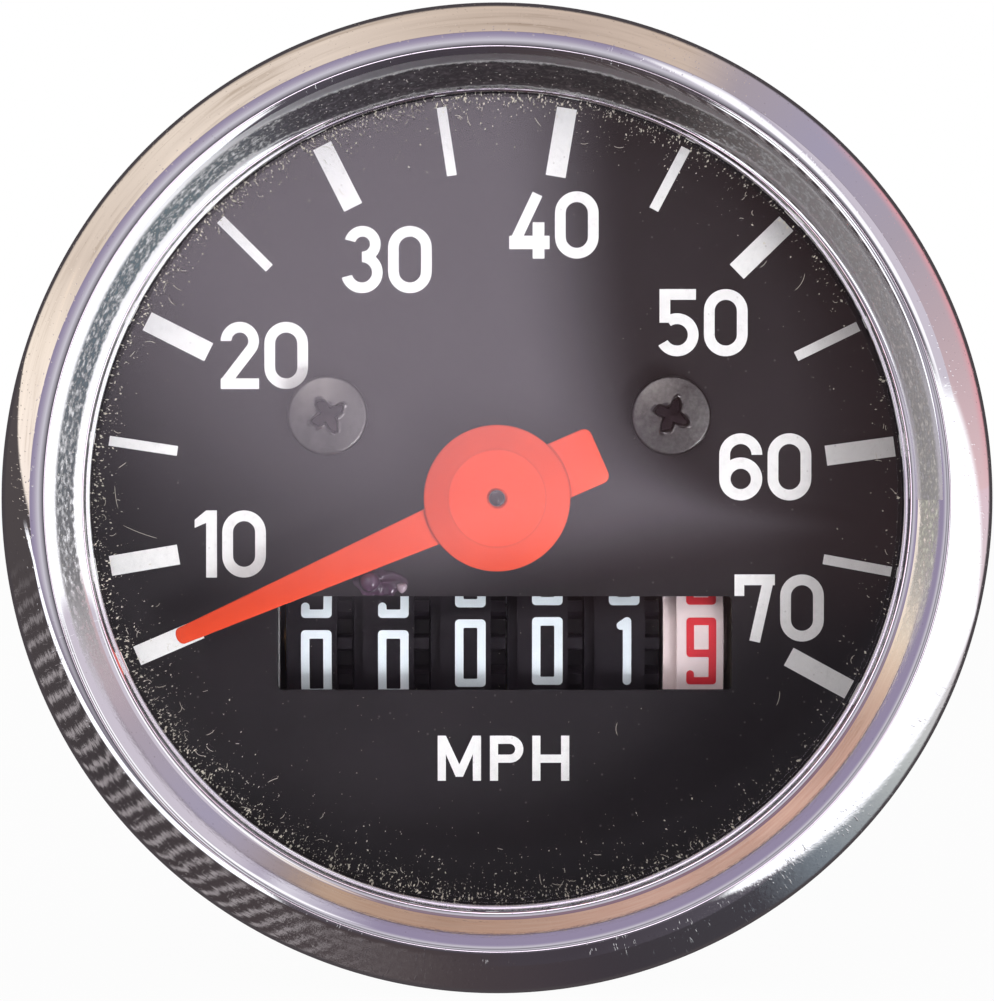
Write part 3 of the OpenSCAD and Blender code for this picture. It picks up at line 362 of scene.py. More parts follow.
def dial_material():
    """Satin black paint with fine orange peel and tiny pale specks."""
    made, tree, shader = material("dial_paint")
    peel = noise(tree, 1400, 3, 0.5)
    specks = between(tree, cells(tree, 900), 0.09, 0.03)
    paint = ramp(tree, noise(tree, 90, 5, 0.6), [(0.3, (0.017, 0.0145, 0.016)), (0.7, (0.024, 0.0205, 0.0225))])
    feed(tree, shader, Base_Color=blended(tree, product(tree, specks, 0.2), paint, (0.3, 0.28, 0.27)),
         Roughness=spread(tree, peel, 0.5, 0.62), Normal=bump(tree, peel, 3e-6, 0.3), Specular_IOR_Level=0.08)
    return made


def print_material():
    """Silk-screened white, a little uneven, with specks of grit."""
    made, tree, shader = material("white_print")
    fine = noise(tree, 2200, 4, 0.7)
    specks = between(tree, cells(tree, 1300), 0.10, 0.05)
    ink = ramp(tree, fine, [(0.25, (0.70, 0.682, 0.655)), (0.45, (0.79, 0.770, 0.740)), (0.8, (0.84, 0.820, 0.790))])
    feed(tree, shader, Base_Color=blended(tree, product(tree, specks, 0.35), ink, (0.30, 0.27, 0.25)),
         Roughness=spread(tree, fine, 0.5, 0.7), Normal=bump(tree, fine, 4e-6, 0.6), Specular_IOR_Level=0.3)
    return made


def pointer_material():
    """Orange-red paint with dust specks, painted shade on the boss's bevel, and thin painted shadow lines at its two
    edges.
    """
    made, tree, shader = material("pointer_paint")
    cloud = noise(tree, 260, 4, 0.6)
    fine = noise(tree, 2600, 3, 0.6)
    specks = between(tree, cells(tree, 1500), 0.10, 0.03)
    paint = ramp(tree, cloud, [(0.3, (0.63, 0.052, 0.016)), (0.7, (0.70, 0.067, 0.024))])
    radius = ring_place(tree, 1, 1)[1]
    flat, rim = BOSS_FLAT_R * MM, BOSS_R * MM
    # Painted shade: the bevel a little darker, and dark lines at the flat's edge and just outside the boss's rim as
    # painted shadow
    bevel = within(tree, radius, flat + 0.00004, rim - 0.00002, 0.00004)
    edges = total(tree, within(tree, radius, flat - 0.00003, flat + 0.00003, 0.00003),
                  within(tree, radius, rim - 0.00001, rim + 0.0001, 0.00004))
    paint = blended(tree, product(tree, bevel, 0.13), paint, (0.10, 0.02, 0.015))
    paint = blended(tree, product(tree, edges, 0.45), paint, (0.12, 0.02, 0.015))
    feed(tree, shader, Base_Color=blended(tree, product(tree, specks, 0.35), paint, (0.40, 0.09, 0.06)),
         Roughness=spread(tree, fine, 0.42, 0.58), Normal=bump(tree, fine, 4e-6, 0.4), Specular_IOR_Level=0.15)
    return made


def screw_material():
    """Dull plated steel, with painted shade that turns the cross recess nearly black."""
    made, tree, shader = material("screw_head_metal")
    fine = noise(tree, 3600, 3, 0.6)
    cloud = noise(tree, 500, 3, 0.6)
    depth = put(tree, "SeparateXYZ", Vector=place(tree)).outputs[1]
    recess, recess_deep = 0.00140, 0.00158
    face = ramp(tree, blended(tree, 0.5, cloud, fine), [
        (0.3, (0.07, 0.062, 0.062)), (0.5, (0.125, 0.115, 0.113)), (0.72, (0.21, 0.197, 0.19)),
    ])
    # Painted shade: darker with depth, down in the cross recess
    recess_shade = product(tree, between(tree, depth, recess, recess_deep), 0.93)
    feed(tree, shader, Base_Color=blended(tree, recess_shade, face, (0.012, 0.007, 0.010)),
         Roughness=spread(tree, fine, 0.26, 0.44), Normal=bump(tree, fine, 8e-6, 0.6), Metallic=1.0)
    return made


CHROME = chrome_material()
GLASS = glass_material()
PAINT = dial_material()
PRINT = print_material()
POINTER = pointer_material()
STEEL = metal("plated_steel", (0.58, 0.57, 0.55), 0.32, 2600, (1, 1, 6), 0.12)
CASE = metal("case_zinc", (0.50, 0.50, 0.49), 0.42, 1100, (1, 1, 1), 0.18, 0.12, 8e-6)
NICKEL = metal("satin_nickel", (0.42, 0.40, 0.39), 0.33, 3600, (1, 1, 1), 0.25, 0.12, 6e-6)
SCREW = screw_material()
BURNISHED = metal("burnished_tip", (0.07, 0.06, 0.065), 0.22, 3600, (1, 1, 1), 0.3, 0.5, 8e-6)
DARK_STEEL = metal("dark_steel", (0.16, 0.15, 0.155), 0.36, 3000, (1, 1, 1), 0.1)
ZINC = metal("die_cast_zinc", (0.55, 0.55, 0.56), 0.5, 900, (1, 1, 1), 0.1, 0.08, 1.2e-5)
BRASS = metal("turned_brass", (0.72, 0.53, 0.24), 0.3, 2500, (1, 5, 1), 0.15)
BRONZE = metal("sintered_bronze", (0.52, 0.35, 0.17), 0.5, 3500, (1, 1, 1), 0.1, 0.08, 1e-5)
ALUMINIUM = metal("spun_aluminium", (0.80, 0.81, 0.82), 0.28, 2600, (1, 7, 1), 0.05)
MAGNET = metal("magnet_alloy", (0.27, 0.27, 0.28), 0.45, 2600, (1, 1, 1), 0.1)
RUBBER = plastic("black_rubber", (0.022, 0.021, 0.022), 0.75, 1.5, 8e-6, 1500, 0.3)
BLACK_PLASTIC = plastic("black_moulding", (0.020, 0.019, 0.021), 0.38, 1.4)
WHEEL_BLACK = plastic("wheel_black", (0.0075, 0.0055, 0.0075), 0.5, 1.6, 5e-6, 2500, 0.2)
WHEEL_WHITE = plastic("wheel_white", (0.84, 0.69, 0.67), 0.5, 1.06, 4e-6)
NYLON = plastic("gear_nylon", (0.70, 0.64, 0.50), 0.42, 1.08)
DIGIT_WHITE = plastic("digit_white", (0.74, 0.80, 0.82), 0.55, 1.08, 5e-6, 3000)
DIGIT_RED = plastic("digit_red", (0.66, 0.018, 0.030), 0.5, 1.1, 5e-6, 3000)
DUST = plastic("dust", (0.42, 0.395, 0.34), 0.8, 2.2, 2e-6, 1500, 0.2)
PALE_LACQUER = plastic("lacquer_drop", (0.30, 0.23, 0.26), 0.25, 1.4, 3e-5, 1200, 0.6)
LACQUER = plastic("locking_lacquer", (0.030, 0.014, 0.026), 0.14, 2.6, 6e-5, 900, 0.5)

SLOT_LOOKS = {
    "case_steel": CASE, "rubber": RUBBER, "glass": GLASS, "black_paint": PAINT, "white_print": PRINT,
    "chrome": CHROME, "nickel": NICKEL, "dark_steel": DARK_STEEL, "steel": STEEL, "zinc": ZINC, "bronze": BRONZE,
    "brass": BRASS, "aluminium": ALUMINIUM, "magnet": MAGNET, "orange_red": POINTER, "wheel_black": WHEEL_BLACK,
    "wheel_white": WHEEL_WHITE, "gear_plastic": NYLON, "black_plastic": BLACK_PLASTIC, "bulb_glass": GLASS,
}
for part in frame["record"]["subparts"]:
    for holder in frame["nodes"][part["node"]].material_slots:
        holder.material = SLOT_LOOKS[part["material_slot"]]


# Bezel: the CAD profile, finely turned, with up to 0.25 mm less metal at the foot of its slope

def bezel_ring():
    """A round outer flank, a narrow crest, a slope that steepens inwards, a hollow at its foot, and a bead."""
    out_r, out_turn, out_slope = 27.03, 1.5, 37
    in_r, in_turn, in_slope = 26.92, 0.55, 40
    bend_r, bend_turn, foot_slope = 26.15, 7.0, 45.5
    hollow_r, hollow_turn = 24.81, 0.62
    rolled = 1.05
    out_a, in_a, foot_a = (math.radians(slope) for slope in (out_slope, in_slope, foot_slope))

    side_r = (BEZEL_R - out_r - out_turn * math.sin(out_a)) / (1 - math.sin(out_a))
    side = (BEZEL_R - side_r, CREST_Y + out_turn + (side_r - out_turn) * math.cos(out_a))
    inner = (in_r, CREST_Y + in_turn)
    start = (inner[0] - in_turn * math.sin(in_a), inner[1] - in_turn * math.cos(in_a))
    bend_y = start[1] + (start[0] - bend_r) * math.tan(in_a)
    bend = (bend_r + bend_turn * math.sin(in_a), bend_y + bend_turn * math.cos(in_a))
    bend_end = (bend[0] - bend_turn * math.sin(foot_a), bend[1] - bend_turn * math.cos(foot_a))
    foot_r = hollow_r + hollow_turn * math.sin(foot_a)
    foot_y = bend_end[1] + (bend_end[0] - foot_r) * math.tan(foot_a)
    hollow_y = foot_y - hollow_turn * math.cos(foot_a)
    profile = [(CASE_R + 0.4, 0.0)]
    profile += arc((BEZEL_R - rolled, -1), rolled - 0.1, 1, 90, 0, 10)
    profile += arc(side, side_r, side_r, 0, out_slope - 90, 40)
    profile += arc((out_r, CREST_Y + out_turn), out_turn, out_turn, out_slope - 90, -90, 24)[1:]
    profile += [(inner[0] - 0.058, CREST_Y)] + arc(inner, in_turn, in_turn, -96.5, -90 - in_slope, 24)
    profile += arc(bend, bend_turn, bend_turn, -90 - in_slope, -90 - foot_slope, 10)
    profile += arc((hollow_r, hollow_y), hollow_turn, hollow_turn, 90 - foot_slope, 90, 20)

    # The bead beside the glass, and the sheet's other side
    bead, bead_r = (SIGHT_R + 0.08, LIP_Y - 0.34), 0.15
    profile += [(hollow_r - 0.08, hollow_y + hollow_turn + 0.10), (hollow_r - 0.08, bead[1] - bead_r)]
    profile += arc(bead, bead_r, bead_r, -75, -180, 12) + [(SIGHT_R - 0.07, LIP_Y)]
    profile += [(SIGHT_R + 1, LIP_Y), (foot_r + SHEET, foot_y + SHEET), (in_r - 0.3, CREST_Y + SHEET + 0.2)]
    profile += [(in_r, CREST_Y + SHEET), (out_r, CREST_Y + SHEET)]
    profile += arc(side, side_r - SHEET, side_r - SHEET, out_slope - 80, 0, 10)
    profile += [(FLANGE_R + 0.2, -SHEET), (CASE_R + 0.4, -SHEET)]
    ring = turned("bezel_ring", profile, 384, CHROME, "case", "chrome", smooth=40)
    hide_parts("bezel")


# Pointer: blade and tail with softened edges, and the boss

def pointer():
    a = math.radians(POINTER_ANGLE)
    along, across = (math.cos(a), math.sin(a)), (-math.sin(a), math.cos(a))
    length, root, tip = 21.4, 1.18, 0.52
    tail_end, tail_half, corner = -6.86, 1.78, 0.5
    half_tip = [(length - 0.3, tip), (length - 0.12, tip * 0.8), (length - 0.02, tip * 0.35)]
    outline = [(s, -t) for s, t in half_tip] + [(length, 0)] + half_tip[::-1]
    outline += [(4.0, root), (0.9, root + 0.1), (0.9, tail_half)]
    outline += arc((tail_end + corner, tail_half - corner), corner, corner, 90, 180, 5)
    outline += arc((tail_end + corner, -tail_half + corner), corner, corner, 180, 270, 5)
    outline += [(0.9, -tail_half), (0.9, -root - 0.1), (4.0, -root)]
    n = len(outline)
    verts = [(s * along[0] + t * across[0], y, s * along[1] + t * across[1]) for y in (0.2, 0.7) for s, t in outline]
    faces = [list(range(n)), list(range(2 * n - 1, n - 1, -1))]
    faces += [[i, i + n, (i + 1) % n + n, (i + 1) % n] for i in range(n)]
    blade = add_mesh("pointer_hand", verts, outward(verts, faces), POINTER, "pointer", "orange_red", 0)
    soften = blade.modifiers.new("edges", "BEVEL")
    soften.width, soften.segments, soften.limit_method = 0.07 * MM, 3, "ANGLE"
    blade.data.shade_smooth()
    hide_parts("pointer_blade")
    rim, flat, front, seat = BOSS_R, BOSS_FLAT_R, -0.6, 0.2
    profile = [(0.5, front + 0.12), (0.62, front + 0.02), (0.7, front), (flat - 0.06, front)]
    profile += [(flat + 0.06, front + 0.02), (rim - 0.1, front + 0.46), (rim - 0.02, front + 0.51)]
    profile += [(rim, front + 0.6), (rim, seat)]
    profile += [(1.0, seat), (1.0, 1.9), (0.5, 1.9)]
    boss = turned("pointer_cap", profile, 128, POINTER, "pointer", "orange_red", smooth=12)
    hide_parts("pointer_boss")
    end = [(0, -0.735), (0.1, -0.74), (0.15, -0.715), (0.25, -0.735), (0.4, -0.73), (0.49, -0.68), (0.5, -0.6)]
    turned("spindle_tip", end + [(0.5, -0.5), (0, -0.5)], 48, BURNISHED, "pointer", "dark_steel")


# Screw heads with worn cross recesses

def screw_head(x, z, turn, head_r, top_y, seat_y, face):
    """A flat-topped head with a chewed cross recess, seen along Y; face is -1 where it faces the dial's front."""
    n, rings, corner = 144, 44, 0.07
    verts, rows = [], []

    def surface(r, a):
        """How deep the head lies below its top: the recess, the burrs round it, a slight crown and the rounded edge."""
        t = a - turn
        reach = 0.365 + 0.115 * math.cos(4 * t) + 0.018 * math.sin(7 * t + 1) + 0.014 * math.sin(11 * t)
        inside = min(1, max(0, (reach - r) / 0.07))
        inside = inside * inside * (3 - 2 * inside)
        burr = math.exp(-((r - reach - 0.02) / 0.035) ** 2) * (0.5 + 0.5 * math.sin(9 * a + 2)) * 0.05
        edge = max(0, r - 1 + corner)
        rounded = corner - math.sqrt(max(0, corner * corner - edge * edge))
        return head_r * (inside * (0.30 - 0.16 * r) - burr + 0.085 * r * r + rounded)

    for k in range(rings + 1):
        r = k / rings
        row = []
        for i in range(n if k else 1):
            a = TAU * i / n
            row.append(len(verts))
            verts.append((x + head_r * r * math.cos(a), top_y - face * surface(r, a), z + head_r * r * math.sin(a)))
        rows.append(row if k else row * n)
    rows.append([len(verts) + i for i in range(n)])
    verts += [(x + head_r * math.cos(TAU * i / n), seat_y, z + head_r * math.sin(TAU * i / n)) for i in range(n)]
    faces = [rows[-1][::-1]]
    for low, high in zip(rows, rows[1:]):
        for i in range(n):
            j = (i + 1) % n
            faces.append([low[i], low[j], high[j], high[i]] if low[i] != low[j] else [low[i], high[j], high[i]])
    return verts, faces


def cross_screws(name, node, places, head_r, head_t, shank_r, seat_y, end_y, face, look):
    parts = []
    for x, z, turn in places:
        verts, faces = screw_head(x, z, turn, head_r, seat_y + face * head_t, seat_y, face)
        parts.append((verts, outward(verts, faces)))
        shank_y = seat_y - 0.001 * face
        parts.append(revolve([(0, shank_y), (shank_r, shank_y), (shank_r, end_y), (0, end_y)], 48, (x, z), False))
    piece = add_mesh(name, *merged(parts), look, "case", "nickel", 40)
    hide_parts(node)


# Threads, nuts and studs

def thread(r, depth, pitch, y0, y1, fade=0.6):
    """Rings of a right-hand thread; each is a function of the angle."""
    count = max(2, round((y1 - y0) / pitch * 8))

    def ring(y):
        ends = min(1, (y - y0) / fade, (y1 - y) / fade)

        def at(a):
            phase = ((y - y0) / pitch + a / TAU) % 1
            tooth = abs(2 * phase - 1)
            groove = min(1, max(0, 1.35 * tooth - 0.15))
            return r - depth * max(0, ends) * groove, y

        return at

    return [ring(y0 + (y1 - y0) * i / count) for i in range(count + 1)]


def cable_neck():
    nipple_r, relief, bush_r = 5.0, 4.7, 3.4
    foot_y, chamfer, counterbore = BASE_BACK - 1.2, 0.5, 5.0
    rings = [(bush_r, foot_y), (relief, foot_y), (relief, THREAD_Y), (nipple_r - 0.3, THREAD_Y + 0.001)]
    rings += thread(nipple_r, 0.5, 1.0, THREAD_Y + 0.05, NIPPLE_END - chamfer)
    rings += [(nipple_r - chamfer, NIPPLE_END), (bush_r + 0.25, NIPPLE_END), (bush_r + 0.1, NIPPLE_END - 0.15)]
    rings += [(bush_r + 0.1, NIPPLE_END - counterbore), (bush_r, NIPPLE_END - counterbore)]
    neck = turned("cable_neck", rings, 96, STEEL, "case", "steel", smooth=50)
    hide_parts("cable_nipple")


def studs():
    end_y = STRAP_BACK + WASHER_T + NUT_T + 2
    rings = [(0, BASE_BACK - 2), (STUD_R, BASE_BACK - 2), (STUD_R, BASE_BACK + 0.5)]
    rings += thread(STUD_R, 0.32, 0.7, BASE_BACK + 0.6, end_y - 0.3, 0.3)
    rings += [(STUD_R - 0.35, end_y), (0, end_y)]
    parts = [revolve(rings, 64, (x, 0), False) for x in (-STUD_X, STUD_X)]
    piece = add_mesh("stud_pair", *merged(parts), STEEL, "case", "steel", 50)
    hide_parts("bracket_studs")


def nuts():
    low = STRAP_BACK + WASHER_T
    high, flat, bore, chamfer = low + NUT_T, 3.5, 2.0, math.tan(math.radians(28))

    def hexagon(y, up):
        def at(a):
            r = flat / math.cos((a + math.pi / 6) % (math.pi / 3) - math.pi / 6)
            return r, y - up * max(0, r - flat + 0.03) * chamfer
        return at

    rings = [(bore, low + 0.3), (bore + 0.3, low), (flat - 0.03, low), hexagon(low, -1)]
    rings += [hexagon(high, 1), (flat - 0.03, high), (bore + 0.3, high), (bore, high - 0.3)]
    parts = [revolve(rings, 96, (x, 0)) for x in (-STUD_X, STUD_X)]
    piece = add_mesh("hex_nut_pair", *merged(parts), BRASS, "case", "brass", 25)
    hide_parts("bracket_nuts")


# Odometer figures, printed on the wheels

DIGIT_W, DIGIT_H, STROKE, RED_STROKE = 1.38, 3.74, 0.26, 0.235
FIGURES = {
    0: [[(0, 0), (1, 0), (1, 1), (0, 1), (0, 0)]],
    1: [[(0.62, 0), (0.62, 1)], [(0.62, 1), (0.34, 0.93)]],
    2: [[(0, 0.86), (0, 1), (1, 1), (1, 0.55), (0, 0.12), (0, 0), (1, 0)]],
    3: [[(0, 0.86), (0, 1), (1, 1), (1, 0.52), (0.4, 0.52)], [(1, 0.52), (1, 0), (0, 0), (0, 0.14)]],
    4: [[(0.75, 0), (0.75, 0.45)], [(0.45, 1), (0, 0.27), (1, 0.27)]],
    5: [[(0.95, 1), (0, 1), (0, 0.56), (1, 0.56), (1, 0), (0, 0), (0, 0.12)]],
    6: [[(0.95, 0.88), (0.95, 1), (0, 1), (0, 0), (1, 0), (1, 0.52), (0, 0.52)]],
    7: [[(0, 0.88), (0, 1), (1, 1), (0.45, 0)]],
    8: [[(0, 0), (1, 0), (1, 0.52), (0, 0.52), (0, 0)], [(0.04, 0.52), (0.04, 1), (0.96, 1), (0.96, 0.52)]],
    9: [[(0, 0.12), (0, 0), (1, 0), (1, 1), (0, 1), (0, 0.47), (1, 0.47)]],
}


def to_stroke(u, v, lines):
    """How far a point lies from the middle line of a figure's strokes."""
    least = 1e9
    for line in lines:
        for (x0, y0), (x1, y1) in zip(line, line[1:]):
            ax, ay = (x0 - 0.5) * DIGIT_W, (y0 - 0.5) * DIGIT_H
            bx, by = (x1 - 0.5) * DIGIT_W, (y1 - 0.5) * DIGIT_H
            dx, dy = bx - ax, by - ay
            t = max(0, min(1, ((u - ax) * dx + (v - ay) * dy) / (dx * dx + dy * dy)))
            least = min(least, math.hypot(u - ax - t * dx, v - ay - t * dy))
    return least


def figure_outline(lines, half, cell=0.065):
    """The figure as a flat mesh: whole cells inside, and cells cut along the stroke's edge."""
    nu, nv = round((DIGIT_W / 2 + half + cell) / cell), round((DIGIT_H / 2 + half + cell) / cell)
    field = {
        (i, j): half - to_stroke(i * cell, j * cell, lines)
        for i in range(-nu, nu + 1) for j in range(-nv, nv + 1)
    }
    verts, index, faces = [], {}, []

    def corner(i, j):
        if (i, j) not in index:
            index[i, j] = len(verts)
            verts.append((i * cell, j * cell))
        return index[i, j]

    def crossing(p, q):
        key = (p, q) if p < q else (q, p)
        if key not in index:
            t = field[key[0]] / (field[key[0]] - field[key[1]])
            t = min(0.98, max(0.02, t))
            index[key] = len(verts)
            verts.append(tuple((key[0][k] + t * (key[1][k] - key[0][k])) * cell for k in (0, 1)))
        return index[key]

    for i in range(-nu, nu):
        for j in range(-nv, nv):
            square = [(i, j), (i + 1, j), (i + 1, j + 1), (i, j + 1)]
            face = []
            for p, q in zip(square, square[1:] + square[:1]):
                if field[p] > 0:
                    face.append(corner(*p))
                if (field[p] > 0) != (field[q] > 0):
                    face.append(crossing(p, q))
            if len(face) > 2:
                faces.append(face)
    return verts, faces


def printed_wheel(i, body, shown, lag, look, slot, half):
    """The ten figures on one wheel, as a thin raised print."""
    x = FIRST_DIGIT_X + i * WHEEL_PITCH
    low, high = WHEEL_R - 0.01, WHEEL_R + 0.03
    parts = []
    for figure, lines in FIGURES.items():
        flat, faces = figure_outline(lines, half)
        middle = math.radians(-36 * (figure - shown) - lag)
        verts = []
        for r in (high, low):
            for u, v in flat:
                a = middle + v / WHEEL_R
                verts.append((x + u, ODO_Y - r * math.cos(a), ODO_Z + r * math.sin(a)))
        n = len(flat)
        edges = {}
        for face in faces:
            for p, q in zip(face, face[1:] + face[:1]):
                if (q, p) in edges:
                    del edges[q, p]
                else:
                    edges[p, q] = True
        solid = [list(f) for f in faces] + [[v + n for v in f[::-1]] for f in faces]
        solid += [[p, p + n, q + n, q] for p, q in edges]
        parts.append((verts, outward(verts, solid)))
    add_mesh(f"figures_{body}", *merged(parts), look, body, slot, 30)


def odometer_print():
    wheels = [("ten_thousands", 0, 9.3), ("thousands", 0, 9.3), ("hundreds", 0, 4.5), ("tens", 0, 3.5),
              ("units", 1, 3.5), ("tenths", 9, 3.5)]
    for i, (body, digit, lag) in enumerate(wheels):
        style = (DIGIT_RED, "orange_red", RED_STROKE) if body == "tenths" else (DIGIT_WHITE, "white_print", STROKE)
        printed_wheel(i, body, digit, lag, *style)


# Lacquer at the stop pin

def lacquer():
    """An uneven film of locking lacquer beside the stop pin, and a bead of it over the pin."""
    window_top = ODO_Z + 3.06

    def edge(a):
        """The film's outline about its middle: long to the right, with a lobed end."""
        c, s = math.cos(a), math.sin(a)
        oval = 1 / math.sqrt((c / 1.62) ** 2 + (s / 0.86) ** 2)
        return oval * (1 + 0.06 * math.sin(5 * a + 0.7) + 0.05 * math.sin(8 * a + 2))

    def ring(share, height):
        return lambda a: (share * edge(a), DIAL_Y - height * (1 + 0.28 * math.sin(4 * a + 5 * share)))

    rings = [(0, DIAL_Y - 0.16)] + [ring(k / 12, 0.20 * math.sqrt(max(0.01, 1 - (k / 12) ** 2))) for k in range(2, 13)]
    rings += [lambda a: (edge(a), DIAL_Y - 0.004), (0, DIAL_Y - 0.004)]
    verts, faces = revolve(rings, 96, (-7.25, -5.28), False)
    verts = [(x, y, max(z, window_top + 0.02 * math.sin(9 * x))) for x, y, z in verts]
    add_mesh("stop_lacquer", verts, faces, LACQUER, "case", "black_plastic", 50)
    rings = [(0, 0.24)] + arc((0, 0.78), 0.62, 0.54, -90, 0, 12)[1:] + [(0.66, 1.4), (0.74, 2.35), (0, 2.35)]
    cap = add_mesh("stop_pin_head", *revolve(rings, 64, (-7.80, -5.14), False), LACQUER, "case", "dark_steel", 50)
    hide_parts("stop_pin")
    rings = [(0, 2.12), lambda a: (0.2 + 0.04 * math.sin(3 * a), 2.16), lambda a: (0.3 + 0.05 * math.sin(3 * a), 2.26)]
    drop = revolve(rings + [(0.3, 2.4), (0, 2.4)], 32, (-5.86, -5.56), False)
    add_mesh("stop_lacquer_drop", *drop, PALE_LACQUER, "case", "black_plastic", 50)


# Dust and lint on the glass

def fleck(rng, centre, size, flat, a=None):
    """An irregular crumb with eight faces, its long side along the angle a."""
    x, y, z = centre
    a = rng.uniform(0, TAU) if a is None else a + rng.gauss(0, 0.5)
    wide = size * rng.uniform(0.25, 0.7)
    points = []
    for k in range(4):
        t = a + k * TAU / 4 + rng.uniform(-0.3, 0.3)
        r = wide if k % 2 else size
        points.append((x + r * math.cos(t) * rng.uniform(0.8, 1.2), y, z + r * math.sin(t)))
    verts = points + [(x, y - flat, z), (x, y + flat * 0.3, z)]
    faces = [[k, (k + 1) % 4, 4] for k in range(4)] + [[(k + 1) % 4, k, 5] for k in range(4)]
    return verts, outward(verts, faces)


def fibre(rng, centre, length, r):
    """A short curled hair."""
    x, y, z = centre
    a, turn = rng.uniform(0, TAU), rng.uniform(-2.2, 2.2)
    steps, sides = 7, 4
    verts, faces = [], []
    for k in range(steps + 1):
        thick = r * (0.4 if k in (0, steps) else 1)
        for s in range(sides):
            t = TAU * s / sides
            across = thick * math.cos(t)
            verts.append((x - across * math.sin(a), y + thick * math.sin(t), z + across * math.cos(a)))
        x, z = x + length / steps * math.cos(a), z + length / steps * math.sin(a)
        a += turn / steps
    for k in range(steps):
        for s in range(sides):
            t = (s + 1) % sides
            faces.append([k * sides + s, k * sides + t, (k + 1) * sides + t, (k + 1) * sides + s])
    faces += [list(range(sides))[::-1], [steps * sides + s for s in range(sides)]]
    return verts, outward(verts, faces)


def dust():
    """Flakes and short fibres against the bezel's edge, and a few specks over the whole glass."""
    rng = random.Random(11)
    parts = []
    face_y, at_rim, scattered = GLASS_FRONT - 0.012, 5600, 420
    heaps = [(0.5, 75, 32), (1.0, 222, 30), (0.75, 272, 34), (0.75, 118, 36), (0.35, 178, 20)]
    hairs = [(-22.6, -1.6, 2.2), (-22.9, -0.6, 1.4), (18.0, 12.6, 1.2), (7.3, -14.3, 0.8), (16.9, -12.5, 0.9)]

    def crowd(a):
        """How dusty the rim is at an angle: most at the lower left, the bottom and over the top."""
        return 0.14 + sum(share * math.exp(-((a - middle) / width) ** 2) for share, middle, width in heaps)

    for _ in range(at_rim):
        a = rng.uniform(0, 360)
        if rng.random() > crowd(a):
            continue
        band = 0.62 if 195 < a < 300 else 0.5
        inward = min(abs(rng.gauss(0, band)) + 3 * rng.random() ** 8, 4.4)
        r = SIGHT_R - 0.1 - inward
        x, z = r * math.cos(math.radians(a)), r * math.sin(math.radians(a))
        size = rng.choice((0.025, 0.035, 0.045, 0.06, 0.1)) * rng.uniform(0.8, 1.3) * (1.15 - 0.45 * min(inward, 1))
        if rng.random() < 0.03:
            parts.append(fibre(rng, (x * 0.98, face_y - 0.01, z * 0.98), rng.uniform(0.2, 0.7), 0.014))
        else:
            parts.append(fleck(rng, (x, face_y, z), size, 0.012, math.radians(a)))
    for _ in range(scattered):
        a, r = rng.uniform(0, TAU), SIGHT_R * math.sqrt(rng.random()) * 0.95
        parts.append(fleck(rng, (r * math.cos(a), face_y, r * math.sin(a)), rng.choice((0.016, 0.022, 0.03)), 0.008))
    for x, z, length in hairs:
        parts.append(fibre(rng, (x, face_y - 0.014, z), length, 0.013))
    add_mesh("glass_dust", *merged(parts), DUST, "case", "white_print", 0)


bezel_ring()
pointer()
cross_screws("dial_screw_pair", "dial_screws", [(-10.42, 5.05, 0.50), (10.70, 5.05, 1.15)], 2.45, 1.3, 1.25,
             DIAL_Y, PLATE_BACK + 1, -1, SCREW)
cross_screws("case_screw_pair", "case_screws", [(-11, -13, 0.5), (11, -13, 1.0)], 2.8, 1.6, 1.5,
             BASE_BACK + 0.8, BASE_BACK - 2, 1, NICKEL)
cable_neck()
studs()
nuts()
odometer_print()
lacquer()
dust()


# Room: a white floor and backdrop for the camera, and coloured surroundings for the chrome

FLOOR_GLOW, SOFT_LEVEL, BAR_LIGHT, WINDOW_LIGHT = 0.965, 0.36, (1.4, 1.4, 1.45), (1.25, 1.25, 1.28)


def floor():
    """A pale floor under the rim. It hides nothing from the lamps, and still takes the object's shadow."""
    mesh = bpy.data.meshes.new("floor")
    y0, y1, x1, z = -1.2, 2.5, 2.0, (-BEZEL_R - 0.02) * MM
    mesh.from_pydata([(-x1, y0, z), (x1, y0, z), (x1, y1, z), (-x1, y1, z)], [], [(0, 1, 2, 3)])
    made, tree, shader = material("pale_floor")
    pale = ramp(tree, noise(tree, 30), [(0.3, (0.84, 0.84, 0.84)), (0.7, (0.87, 0.87, 0.87))])
    feed(tree, shader, Base_Color=pale, Roughness=0.9)
    glow = put(tree, "Emission", Color=(1, 1, 1), Strength=1.0)
    lift = product(tree, put(tree, "LightPath").outputs["Is Camera Ray"], FLOOR_GLOW)
    mix = put(tree, "MixShader", i0=lift, i1=shader.outputs[0], i2=glow.outputs[0])
    tree.links.new(mix.outputs[0], tree.nodes["Material Output"].inputs["Surface"])
    mesh.materials.append(made)
    piece = bpy.data.objects.new("floor", mesh)
    bpy.context.scene.collection.objects.link(piece)
    piece.visible_glossy = False
    piece.visible_transmission = False
    piece.visible_shadow = False


